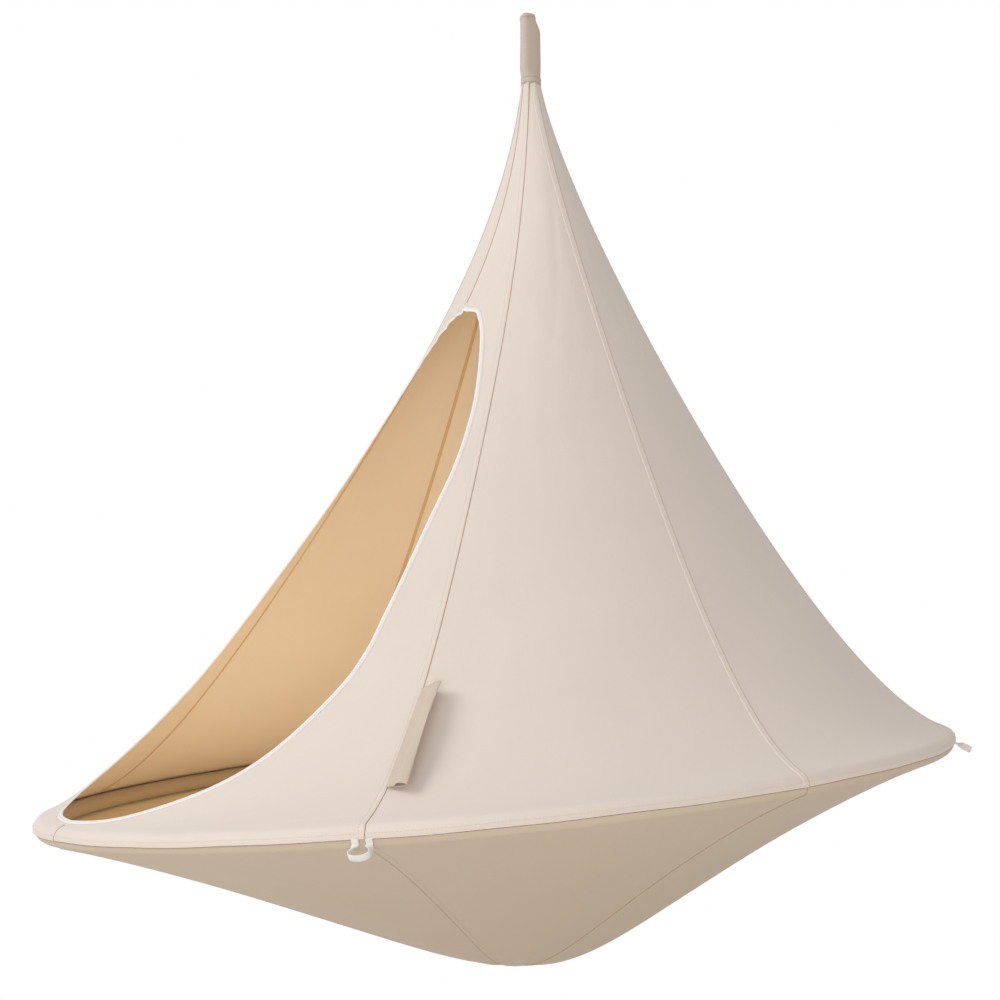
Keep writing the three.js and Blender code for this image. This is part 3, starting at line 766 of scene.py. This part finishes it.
def canopy_fell(number):
    rows = CANOPY_ROWS[CANOPY_ROWS >= -0.5]
    spans = [rows]
    if number == 1:
        spans = [rows[rows < SEAM_ABOVE_DOOR], rows[rows > SEAM_BELOW_DOOR]]
    return fell("canopy", number, canopy_cloth, canopy, spans, -1, FELL_HEIGHT, hem_height, CANVAS, "canvas")


def canopy_tape(number):
    end = SEAM_ABOVE_DOOR if number == 1 else CANOPY_TAPE_TO
    rows = CANOPY_ROWS[(CANOPY_ROWS > TAPE_FROM) & (CANOPY_ROWS < end)]
    return seam_tape("canopy", number, canopy_cloth, canopy, rows)


canopy_gores, canopy_fells, canopy_tapes = {}, {}, {}
for number in range(1, GORES + 1):
    canopy_gores[number] = canopy_gore(number)
    canopy_fells[number] = canopy_fell(number)
    canopy_tapes[number] = canopy_tape(number)

# The floor's cloth laps the tube under the hem, then runs to the lowest point
FLOOR_TOP_AT = -2 * DEG
FLOOR_TOP_RADIUS = 0.01515
SHORT_FOLD = 0.0005
LONG_FOLD = 0.0003
wrap_rows = np.linspace(-1, 0, 12, endpoint=False)
FLOOR_ROWS = np.concatenate([wrap_rows, np.linspace(0, 0.9, 60), [0.925, 0.95, 0.97, 0.985, 0.995]])


def floor_wrap(angle, part):
    tube_angle = mix(BASE_LEAVES_AT, FLOOR_TOP_AT, part)
    return ring_point(angle, mix(WRAP_RADIUS, FLOOR_TOP_RADIUS, ease(part * 1.4)), tube_angle)


def floor_relief(angle, t):
    wave = np.sin(3 * GORES * angle + 2.5 * np.sin(5 * angle) + 6 * t)
    short_folds = SHORT_FOLD * wave * np.exp(-((t - 0.78) / 0.14) ** 2)
    long_folds = np.sin(20 * t + 3 * np.cos(GORES * angle)) * np.exp(-((t - 0.4) / 0.22) ** 2)
    return short_folds + LONG_FOLD * long_folds * np.sin(GORES * angle / 2) ** 2


def floor_cloth(angle, t, height=0.0):
    """The floor's outer face. Below 0, t runs up round the tube to the edge under the hem."""
    angle, t, height = np.broadcast_arrays(np.asarray(angle, float), np.asarray(t, float), height)
    below = np.clip(t, 0, 1)
    out = outward(floor, angle, below)
    lift = np.where(t < 0, 0, floor_relief(angle, below)) + height
    spread = floor(angle, below) + out * lift[..., None]
    tube_angle = mix(BASE_LEAVES_AT, FLOOR_TOP_AT, np.clip(-t, 0, 1))
    wrapped = floor_wrap(angle, np.clip(-t, 0, 1))
    centre = ring_point(angle, 0, tube_angle)
    wrapped = wrapped + unit(wrapped - centre) * height[..., None]
    return np.where((t < 0)[..., None], wrapped, spread)


def floor_angles(number):
    return gore_angles(seam_angle(number) + 0 * FLOOR_ROWS, seam_angle(number + 1) + 0 * FLOOR_ROWS)


def floor_gore(number):
    angle, rows = floor_angles(number), FLOOR_ROWS[:, None]
    outer, inner = floor_cloth(angle, rows), floor_cloth(angle, rows, -CLOTH)
    return gore_piece("floor", number, outer, inner, [FLOOR_OUTSIDE, FLOOR_INSIDE_PAINTED_LIGHT], "floor_cloth")


def floor_fell(number):
    rows = FLOOR_ROWS[(FLOOR_ROWS > -0.95) & (FLOOR_ROWS < 0.99)]
    return fell("floor", number, floor_cloth, floor, [rows], 1, FLOOR_FELL_HEIGHT, np.zeros_like,
                FLOOR_OUTSIDE, "floor_cloth")


def floor_tape(number):
    rows = FLOOR_ROWS[(FLOOR_ROWS > TAPE_FROM) & (FLOOR_ROWS < FLOOR_TAPE_TO)]
    return seam_tape("floor", number, floor_cloth, floor, rows)


# The ring in its sleeve, and the rows of thread round the rim, two of them also painted shadow lines
SLEEVE_WRINKLE = 0.0004
RIM_ANGLES = np.linspace(0, 2 * math.pi, 721)
HEM_THREAD = {"thick": 0.0003}
INNER_THREAD = {"pitch": 0.0052, "length": 0.0046, "thick": 0.0004}
INNER_STITCHES_AT = 100 * DEG
INNER_STITCHES_RADIUS = 0.0148


def ring_grid(start, end, rows, columns):
    """Angles along part of the ring and round its tube."""
    turn = np.linspace(0, 2 * math.pi, columns, endpoint=False)
    return np.meshgrid(np.linspace(start, end, rows), turn, indexing="ij")


def rim_sleeve(number):
    """One length of the sleeve, under a gore."""
    angle, turn = ring_grid(seam_angle(number), seam_angle(number + 1), 61, 28)
    wrinkle = SLEEVE_WRINKLE * np.sin(angle * 90 + 2 * np.sin(turn * 2)) * np.sin(turn)
    outer = ring_point(angle, SLEEVE_RADIUS + np.minimum(wrinkle, 0), turn)
    inner = ring_point(angle, SLEEVE_RADIUS - SLEEVE_WALL, turn)
    form = Form().shell(outer, inner, wrap_columns=True, slots=(0, 0, 0))
    name = f"rim_sleeve_{number}"
    return form.piece(f"{name}_cloth", [SLEEVE_PAINTED_SHADE], replaces=[name], slot="floor_cloth")


def ring_pipe(name, start, end, radius):
    """A drawn tube along part of the ring, open at both ends."""
    angle, turn = ring_grid(start, end, int((end - start) / DEG) + 2, 24)
    outer, inner = ring_point(angle, radius, turn), ring_point(angle, radius - TUBE_WALL, turn)
    form = Form().shell(outer, inner, wrap_columns=True, slots=(0, 0, 0))
    form.piece(f"{name}_pipe", [ALUMINIUM], replaces=[name], slot="aluminium")


def ring_tubes(number):
    """One part of the ring, and the joiner inside its first meeting."""
    start, end = (2 * math.pi / RING_TUBES * k for k in (number - 1, number))
    gap, half_joiner = TUBE_GAP / RING_RADIUS, JOINER_LENGTH / 2 / RING_RADIUS
    ring_pipe(f"ring_tube_{number}", start + gap, end - gap, TUBE_RADIUS)
    joiner_radius = TUBE_RADIUS - TUBE_WALL - JOINER_CLEARANCE
    ring_pipe(f"ring_joiner_{number}", start - half_joiner, start + half_joiner, joiner_radius)


def rim_row(name, line, material, thread):
    """A row of stitches all round the rim."""
    normals = unit(line - ring_point(RIM_ANGLES, 0, 0))
    return stitches(Form(), line, normals, 0, **thread).piece(name, [material])


def rim_rows():
    """The row above the hem's edge, a tan line at that edge and a dark row over the sleeve inside, both
    lines partly thread and partly painted shadow.
    """
    hem = canopy_cloth(RIM_ANGLES, 2 - HEM_WIDTH * 0.8, HEM_PROUD)
    edge_at = HEM_AT + hem_wave(RIM_ANGLES) - SEAM_LINE_ASIDE / WRAP_RADIUS
    edge = ring_point(RIM_ANGLES, WRAP_RADIUS, edge_at)
    inside = ring_point(RIM_ANGLES, INNER_STITCHES_RADIUS, INNER_STITCHES_AT)
    return [
        rim_row("rim_hem_stitches", hem, THREAD_LIGHT, HEM_THREAD),
        # at the hem's fold edge: partly thread, partly painted shadow of the fold
        rim_row("rim_hem_edge_thread_and_painted_shadow", edge, TAN_THREAD_AND_SHADOW, SEAM_THREAD),
        # partly stitches and partly painted shadow of the gap above the sleeve
        rim_row("rim_inner_stitches_and_painted_shadow", inside, DARK_THREAD_AND_SHADOW, INNER_THREAD),
    ]


floor_gores, floor_fells, floor_tapes, sleeves = {}, {}, {}, {}
for number in range(1, GORES + 1):
    floor_gores[number] = floor_gore(number)
    floor_fells[number] = floor_fell(number)
    floor_tapes[number] = floor_tape(number)
    sleeves[number] = rim_sleeve(number)
for number in range(1, RING_TUBES + 1):
    ring_tubes(number)
rim_stitches = rim_rows()

# The white binding, folded over the cloth's edge all round the door
BINDING_WIDTH = 0.0075
BINDING_THICKNESS = 0.0026
BINDING_ON_CLOTH = 0.0022
BINDING_STEP = 0.005
BINDING_PITCH = 0.0042
BINDING_TOP = BINDING_THICKNESS / 2 - CLOTH / 2
BINDING_ROWS = ((0.0006, BINDING_TOP), (-0.0042, 0.0))
DOOR_MIDDLE = 0.65


def door_loop():
    """The door's edge as a closed line, with the cloth's direction and the way into the opening."""
    right, left = door_edge(1), door_edge(-1)
    angle = np.concatenate([[0], right, [0], left[::-1]])
    t = np.concatenate([[DOOR_TOP], EDGE_T, [DOOR_BOTTOM], EDGE_T[::-1]])
    line, normal = canopy_cloth(angle, t), outward(canopy, angle, t)
    closed = np.concatenate([line, line[:1]])
    total = lengths(closed)[-1]
    along = np.linspace(0, total, int(total / BINDING_STEP), endpoint=False)
    line, normal = resample(closed, along, np.concatenate([normal, normal[:1]]))
    run = unit(np.roll(line, -1, 0) - np.roll(line, 1, 0))
    normal = unit(normal - run * (normal * run).sum(-1, keepdims=True))
    inward = np.cross(normal, run)
    inward *= np.sign(((canopy(0.0, DOOR_MIDDLE) - line) * inward).sum(-1))[:, None]
    return line, inward, normal


def door_binding():
    line, inward, normal = door_loop()
    profile = rounded_strip(BINDING_WIDTH, BINDING_THICKNESS, -BINDING_THICKNESS / 2 - CLOTH / 2, corner=4)
    profile[:, 0] += BINDING_WIDTH / 2 - BINDING_ON_CLOTH
    form = Form().tube(sweep(line, inward, normal, profile), closed=True)
    normals = np.concatenate([normal, normal[:1]])
    for offset, height in BINDING_ROWS:
        row = line + inward * offset + normal * height
        stitches(form, np.concatenate([row, row[:1]]), normals, 1, pitch=BINDING_PITCH)
    materials = [BINDING, THREAD_LIGHT]
    return form.piece("door_binding_tape", materials, replaces=["door_binding"], slot="binding")


binding = door_binding()

# The sock round the hang eye, its band at the neck and its hem. It is wide across Y, flattened across X.
SOCK_TURN = -12 * DEG
SOCK_HALF_WIDTH = 0.018
SOCK_HALF_DEPTH = 0.0129
SOCK_SQUARENESS = 3.2
SOCK_LEAN = 0.0095
SOCK_SHIFT = -0.0014
SOCK_LEAN_FROM = 0.036
SOCK_FLAT_FROM = 0.006                # above the band's foot
SOCK_FLATTENS_IN = 0.03
SOCK_MEAN_RADIUS = 0.015
SOCK_FOLD = 0.0008
SOCK_CREASE = 0.0005
SOCK_THREAD = {"pitch": 0.0036, "length": 0.0025}
NECK_CLEARANCE = 0.0004
BAND_HEIGHT = 0.014
SOCK_BOTTOM_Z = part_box("hanging_sock")[0].z
SOCK_TOP_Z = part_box("hanging_sock")[1].z
HEM_TOP_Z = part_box("sock_hem")[1].z
BAND_BOTTOM_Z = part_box("neck_band")[0].z
SOCK_COLUMNS = 72


def sock_ring(z, proud=0.0):
    """The sock's outline at each height: round at the neck, flattened above, its top leaning in."""
    turn = np.linspace(0, 2 * math.pi, SOCK_COLUMNS, endpoint=False)
    z, turn = np.broadcast_arrays(np.asarray(z, float)[:, None], turn[None])
    c, s = np.cos(turn), np.sin(turn)
    square = (np.abs(c) ** SOCK_SQUARENESS + np.abs(s) ** SOCK_SQUARENESS) ** (-1 / SOCK_SQUARENESS)
    flat = ease((z - BAND_BOTTOM_Z - SOCK_FLAT_FROM) / SOCK_FLATTENS_IN)
    round_radius = NECK_RADIUS + NECK_CLEARANCE
    depth = mix(round_radius, SOCK_HALF_DEPTH * square, flat) + proud
    width = mix(round_radius, SOCK_HALF_WIDTH * square, flat) + proud
    x, y = depth * c, width * s
    lean = ease((z - HEM_TOP_Z + SOCK_LEAN_FROM) / SOCK_LEAN_FROM) * SOCK_LEAN
    y = y - lean * (1 + y / SOCK_HALF_WIDTH) * 0.6 + SOCK_SHIFT * flat
    up = z - SOCK_BOTTOM_Z
    fold = SOCK_FOLD * np.sin(2 * turn + 1 + 20 * z) * np.sin(np.clip(up / 0.1, 0, 1) * math.pi)
    crease = -SOCK_CREASE * np.exp(-((turn - 5.15 + 2.2 * up) / 0.16) ** 2) * flat
    swell = 1 + (fold + crease) / SOCK_MEAN_RADIUS
    x, y = x * swell, y * swell
    ca, sa = math.cos(SOCK_TURN), math.sin(SOCK_TURN)
    return np.stack([x * ca - y * sa, x * sa + y * ca, z], -1)


def cloth_ring(node_name, heights, proud, thick, body="tent", bulge=0.0, rows_of_stitches=()):
    """A ring of the sock's cloth between its lowest and highest height."""
    heights = np.linspace(*heights)
    share = np.linspace(0, 1, len(heights))
    swell = (bulge * np.sin(share * math.pi) ** 0.5)[:, None, None]
    outer = sock_ring(heights, proud)
    radial = unit(outer * (1, 1, 0))
    outer, inner = outer + radial * swell, outer - radial * thick
    form = Form().shell(outer, inner, wrap_columns=True, slots=(0, 1, 0))
    for z in rows_of_stitches:
        line = sock_ring(np.array([z]), proud + bulge * 0.9)[0]
        line = np.concatenate([line, line[:1]])
        stitches(form, line, unit(line * (1, 1, 0)), 2, **SOCK_THREAD)
    return form.piece(f"{node_name}_cloth", [SOCK_PAINTED_SHADE, CANVAS_INSIDE_PAINTED_LIGHT, TAN_THREAD_AND_SHADOW], body, [node_name])


band_rows = [BAND_BOTTOM_Z + 0.0018, BAND_BOTTOM_Z + 0.012]
neck_band = cloth_ring("neck_band", (BAND_BOTTOM_Z, BAND_BOTTOM_Z + BAND_HEIGHT, 10), 0.0004, 0.0012,
                       bulge=0.0007, rows_of_stitches=band_rows)
sock = cloth_ring("hanging_sock", (SOCK_BOTTOM_Z - 0.002, SOCK_TOP_Z + 0.001, 60), 0.0, 0.0007)
sock_hem = cloth_ring("sock_hem", (SOCK_TOP_Z - 0.0005, HEM_TOP_Z, 8), 0.0002, 0.0014, "sock_rim",
                      0.0006, [SOCK_TOP_Z + 0.0012])
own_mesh(sock)

# The hang strap: flat webbing in an upside-down U, whose bend bears on the carabiner
STRAP_THICKNESS = 0.0025
STRAP_WIDTH = 0.018
STRAP_EYE_RADIUS = 0.0085
STRAP_BOX_Y = (-0.006, 0.006)         # the box of stitches at its foot
STRAP_BOX_UP = (0.004, 0.03)


def hang_strap():
    tail_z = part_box("hang_strap")[0].z
    middle = STRAP_EYE_RADIUS + STRAP_THICKNESS / 2
    leg = np.linspace(tail_z, -STRAP_EYE_RADIUS, 40)[:-1]
    turn = np.linspace(0, math.pi, 25)
    x = np.concatenate([0 * leg + middle, middle * np.cos(turn), 0 * leg - middle])
    z = np.concatenate([leg, -STRAP_EYE_RADIUS + middle * np.sin(turn), leg[::-1]])
    line = np.stack([x, 0 * x, z], -1)
    run = unit(np.gradient(line, axis=0))
    side = np.broadcast_to([0.0, 1.0, 0.0], line.shape)
    profile = rounded_strip(STRAP_WIDTH, STRAP_THICKNESS, -STRAP_THICKNESS / 2, corner=2)
    form = Form().tube(sweep(line, side, np.cross(run, side), profile))
    box_z = [tail_z + up for up in STRAP_BOX_UP]
    box = [[(y, z) for z in box_z] for y in STRAP_BOX_Y] + [[(y, z) for y in STRAP_BOX_Y] for z in box_z]
    for sign in (1, -1):
        face_x = sign * (STRAP_EYE_RADIUS + STRAP_THICKNESS)
        for row in box:
            seam = np.array([[face_x, y, z] for y, z in row])
            stitches(form, seam, np.array([[sign, 0, 0]] * 2, float), 1)
    form.piece("hang_strap_webbing", [WEBBING, TAN_THREAD_AND_SHADOW], replaces=["hang_strap"], slot="webbing")


hang_strap()

# Webbing loops on the rim
LOOP_NAMES = ("front_left", "back_left", "back_right", "front_right")
LOOP_FIRST_AT = 45                    # degrees, and a quarter turn from each to the next
LOOP_REACH = 0.028
LOOP_HALF_WIDTH = 0.0135
LOOP_ROOT_HALF_WIDTH = 0.009
LOOP_CORNER = 0.0085
LOOP_WEBBING = 0.0095
LOOP_THICKNESS = 0.0013
LOOP_DROOP = 30 * DEG
LOOP_ROOT_AT = 0.0171
LOOP_SEWN = 0.0065                    # the ends, flat on the tube's side up to the hem
LOOP_ASIDE = -0.004
LOOP_TWIST_FROM = 0.001
LOOP_TWIST_LENGTH = 0.018


def rim_loop(name, angle):
    side = ring_out(angle + math.pi / 2)
    out = ring_out(angle) * math.cos(LOOP_DROOP) - RING_UP * math.sin(LOOP_DROOP)
    across = np.cross(side, out)
    root = ring_point(angle, LOOP_ROOT_AT, -LOOP_DROOP)
    turn = np.linspace(0, math.pi, 33)
    legs = np.linspace(-LOOP_SEWN, LOOP_REACH - LOOP_CORNER, 30)[:-1]
    spread = mix(LOOP_ROOT_HALF_WIDTH, LOOP_HALF_WIDTH, ease(legs / (LOOP_REACH - LOOP_CORNER)))
    x = np.concatenate([spread, LOOP_HALF_WIDTH * np.cos(turn), -spread[::-1]]) + LOOP_ASIDE
    y = np.concatenate([legs, LOOP_REACH - LOOP_CORNER + LOOP_CORNER * np.sin(turn), legs[::-1]])
    sewn = ring_point(angle, LOOP_ROOT_AT, -LOOP_DROOP - np.minimum(y, 0) / LOOP_ROOT_AT)
    line = sewn + side * x[:, None] + out * np.maximum(y, 0)[:, None]
    run = unit(np.gradient(line, axis=0))
    twist = ease((y - LOOP_TWIST_FROM) / LOOP_TWIST_LENGTH)[:, None] * (math.pi / 2)
    flat = side - run * (run @ side)[:, None]
    flat = np.where(np.linalg.norm(flat, axis=-1, keepdims=True) < 0.3, run * 0, flat)
    sign = np.where(np.arange(len(x)) < len(x) / 2, 1.0, -1.0)[:, None]
    width = unit(unit(flat) * np.cos(twist) * sign + across * np.sin(twist))
    width = unit(width - run * (width * run).sum(-1, keepdims=True))
    face = np.cross(width, run)
    profile = rounded_strip(LOOP_WEBBING, LOOP_THICKNESS, -LOOP_THICKNESS / 2, corner=2)
    form = Form().tube(sweep(line, width, face, profile))
    node_name = f"rim_loop_{name}"
    loop = form.piece(f"{node_name}_webbing", [WEBBING], None, replaces=[node_name], slot="webbing")
    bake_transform(loop)


for quarter, name in enumerate(LOOP_NAMES):
    rim_loop(name, (LOOP_FIRST_AT + 90 * quarter) * DEG)

# The tag, a strip of cloth folded double and sewn into the seam beside the door
TAG_SEAM = 45 * DEG
TAG_TOP = 0.794
TAG_BOTTOM = 0.931
TAG_WIDTH = 0.034
TAG_CLOTH = 0.0009
TAG_OPEN = 0.0032
TAG_LIFT = 26 * DEG
TAG_SKEW = 0.007                      # the free edge runs further down than the sewn one
TAG_SPREAD = 0.06                     # and leans away from it
TAG_OFF_CLOTH = 0.0026
TAG_BOW = 0.0022
TAG_PINCH = 0.0006
# The tag's colour is darker than the canvas: painted shade of the tag's face.
TAG_PAINTED_SHADE = cloth_material("tag_cloth", (202, 186, 169), coordinates="Object", creased=0.1)


def tag_section(count=34):
    """The folded strip's middle line: along the lower layer, round the fold and back along the upper."""
    x = 1 - np.linspace(1, 0, count) ** 1.7
    swell = np.sin(np.clip((x - 0.42) / 0.58, 0, 1) * math.pi) ** 0.7
    half_open = TAG_PINCH + TAG_OPEN * swell
    lower = np.stack([x * TAG_WIDTH, -half_open * 0.5], -1)
    upper = np.stack([x[::-1] * TAG_WIDTH, half_open[::-1] * 1.2], -1)
    return np.concatenate([lower, upper[1:]])


def seam_tag():
    top, bottom = canopy(TAG_SEAM, TAG_TOP), canopy(TAG_SEAM, TAG_BOTTOM)
    along = unit(bottom - top)
    normal = outward(canopy, np.array(TAG_SEAM), np.array((TAG_TOP + TAG_BOTTOM) / 2))
    normal = unit(normal - along * (normal @ along))
    flat = np.cross(along, normal)
    flat = flat if flat[0] > 0 else -flat
    lifted = flat * math.cos(TAG_LIFT) + normal * math.sin(TAG_LIFT)
    face = np.cross(along, lifted)
    face = face if face @ normal > 0 else -face
    section = tag_section()
    run = unit(np.gradient(section, axis=0))
    sideways = np.stack([-run[:, 1], run[:, 0]], -1)
    loop = np.concatenate([section + sideways * TAG_CLOTH / 2, (section - sideways * TAG_CLOTH / 2)[::-1]])
    share = np.linspace(0, 1, 40)
    place = top + (bottom - top) * share[:, None] + normal * TAG_OFF_CLOTH
    opened = mix(0.55, 1.0, ease((share - 0.5) * 2)) + 0.12 * np.sin(share * 9)
    across = loop[None, :, :1] * (1 + TAG_SPREAD * share[:, None, None])
    skew = TAG_SKEW * share[:, None, None] * loop[None, :, :1] / TAG_WIDTH
    bow = TAG_BOW * np.sin(share * math.pi * 1.3)[:, None, None] * (loop[None, :, :1] / TAG_WIDTH) ** 2
    layers = loop[None, :, 1:] * opened[:, None, None]
    grid = place[:, None] + lifted * across + along * skew + face * layers + face * bow
    return Form().tube(grid).piece("seam_tag_cloth", [TAG_PAINTED_SHADE], "seam_tag", ["seam_tag"])


tag = seam_tag()

# What each sheet was cut to before it was sewn and hung, with its seam allowances
SEAM_ALLOWANCE = 0.012


def flat_cut(points, seam=0):
    """The width, length and area of a gore's flat cut, from the surface that it makes."""
    widths = np.linalg.norm(np.diff(points, axis=1), axis=-1).sum(1) + 2 * SEAM_ALLOWANCE
    down = lengths(points[:, seam])
    area = ((widths[1:] + widths[:-1]) / 2 * np.diff(down)).sum()
    return (widths.max(), down[-1] + SEAM_ALLOWANCE), area


def flat_strip(points, seam):
    """A gore with the door cut out is a strip down its seam and along the hem: its width and length."""
    door_side = points[:, -1 - seam]
    outline = np.concatenate([points[:, seam], points[-1]])
    across = np.linalg.norm(door_side[:, None] - outline[None], axis=-1).min(1).max()
    return across + 2 * SEAM_ALLOWANCE, lengths(door_side)[-1] + SEAM_ALLOWANCE


def declare_gores(number):
    seam = -1 if number == 1 else 0
    points = canopy_cloth(canopy_angles(number), CANOPY_ROWS[:, None])
    flat, area = flat_cut(points, seam)
    if number in (1, GORES):
        flat = flat_strip(points, seam)
    sewn_on = [canopy_fells[number], canopy_tapes[number]]
    if number == 1:
        sewn_on += [binding, *rim_stitches]
    flat, area = flat_cut(floor_cloth(floor_angles(number), FLOOR_ROWS[:, None]))
    flat = (2 * math.pi * SLEEVE_RADIUS + SEAM_ALLOWANCE, RING_RADIUS * GORE_ANGLE + SEAM_ALLOWANCE)


for number in range(1, GORES + 1):
    declare_gores(number)
tag_length = np.linalg.norm(canopy(TAG_SEAM, TAG_BOTTOM) - canopy(TAG_SEAM, TAG_TOP))

# The floor below the tent and the white behind it
FLOOR_Z = -2.15
FLOOR_HALF = 9.0
FLOOR_COLOUR = (0.8, 0.76, 0.7, 1)
WHITE_FROM = 1.0
WHITE_AT = 2.6
SENSOR_WIDTH = 36


def background_rays(tree):
    """1 for the rays that show the background: the camera's, and those off gloss or through glass."""
    seen = tree.nodes.new("ShaderNodeLightPath").outputs
    rays = math_node(tree, "MAXIMUM", seen["Is Camera Ray"], seen["Is Glossy Ray"])
    return math_node(tree, "MAXIMUM", rays, seen["Is Transmission Ray"])


def stage_floor():
    mesh = bpy.data.meshes.new("stage_floor")
    corners = [(x, y, FLOOR_Z) for x, y in ((-1, -1), (1, -1), (1, 1), (-1, 1))]
    mesh.from_pydata([(x * FLOOR_HALF, y * FLOOR_HALF, z) for x, y, z in corners], [], [(0, 1, 2, 3)])
    material, tree, shader = new_material("stage_floor")
    set_values(shader, {"Base Color": FLOOR_COLOUR, "Roughness": 0.9})
    place = tree.nodes.new("ShaderNodeTexCoord").outputs["Object"]
    far = node(tree, "ShaderNodeMapRange", interpolation_type="SMOOTHSTEP")
    set_values(far, {"From Min": WHITE_FROM, "From Max": WHITE_AT})
    length = node(tree, "ShaderNodeVectorMath", operation="LENGTH")
    tree.links.new(place, length.inputs[0])
    tree.links.new(length.outputs["Value"], far.inputs["Value"])
    white = node(tree, "ShaderNodeEmission")
    both = math_node(tree, "MULTIPLY", background_rays(tree), far.outputs[0])
    mixer = node(tree, "ShaderNodeMixShader")
    tree.links.new(both, mixer.inputs[0])
    tree.links.new(shader.outputs[0], mixer.inputs[1])
    tree.links.new(white.outputs[0], mixer.inputs[2])
    tree.links.new(mixer.outputs[0], tree.nodes["Material Output"].inputs["Surface"])
    mesh.materials.append(material)
    add_object("stage_floor", mesh)


def world_light(strength):
    world = bpy.data.worlds.new("studio")
    bpy.context.scene.world = world
    world.use_nodes = True
    tree = world.node_tree
    back = tree.nodes["Background"]
    level = node(tree, "ShaderNodeMapRange", **{"To Min": strength, "To Max": 1.0})
    tree.links.new(background_rays(tree), level.inputs["Value"])
    tree.links.new(level.outputs[0], back.inputs["Strength"])
    back.inputs["Color"].default_value = (1, 1, 1, 1)


def place_object(name, data, place, forward=None):
    obj = add_object(name, data)
    obj.location = place
    if forward is not None:
        obj.rotation_mode = "QUATERNION"
        obj.rotation_quaternion = Vector(forward).to_track_quat("-Z", "Y")
    return obj


def area_lamp(name, place, aim, size, power, colour=(1, 1, 1)):
    data = bpy.data.lights.new(name, "AREA")
    data.shape = "DISK"
    data.size = size
    data.energy = power
    data.color = colour
    place_object(name, data, place, Vector(aim) - Vector(place)).visible_camera = False


def point_lamp(name, place, radius, power):
    """Stands for the light that comes through the cloth and fills the tent."""
    data = bpy.data.lights.new(name, "POINT")
    data.shadow_soft_size = radius
    data.energy = power
    place_object(name, data, place).visible_camera = False


def camera_at(place, forward, lens, shift):
    data = bpy.data.cameras.new("camera")
    data.sensor_width = SENSOR_WIDTH
    data.lens = lens
    data.shift_x = shift
    bpy.context.scene.camera = place_object("camera", data, place, forward)


# The camera, from the seams, the rim and the outline in the photograph
PICTURE_WIDTH = 1000
FOCAL_PIXELS = 1548
MIDDLE_PIXEL_X = 531
CAMERA_PLACE = (2.2526, -1.49, -1.2471)
CAMERA_FORWARD = (-0.82488, 0.54563, 0.1479)
stage_floor()
world_light(0.57)
area_lamp("key", (-0.9, -4.2, 1.6), (0, 0, -0.9), 3.0, 104)
area_lamp("front", (2.6, -2.2, -1.7), (0, 0, -1.3), 1.6, 23)
area_lamp("fill", (3.6, 0.8, -0.2), (0, 0, -1), 2.5, 9, (1, 0.85, 0.68))
point_lamp("cabin_glow", (0.1, -0.2, -1.28), 0.25, 2.9)
point_lamp("low_glow", (-0.36, -0.22, -1.34), 0.2, 0.42)
point_lamp("upper_glow", (0.05, 0.06, -0.85), 0.15, 0.4)
camera_at(CAMERA_PLACE, CAMERA_FORWARD, SENSOR_WIDTH * FOCAL_PIXELS / PICTURE_WIDTH,
          0.5 - MIDDLE_PIXEL_X / PICTURE_WIDTH)
bpy.context.scene.view_settings.view_transform = "Standard"
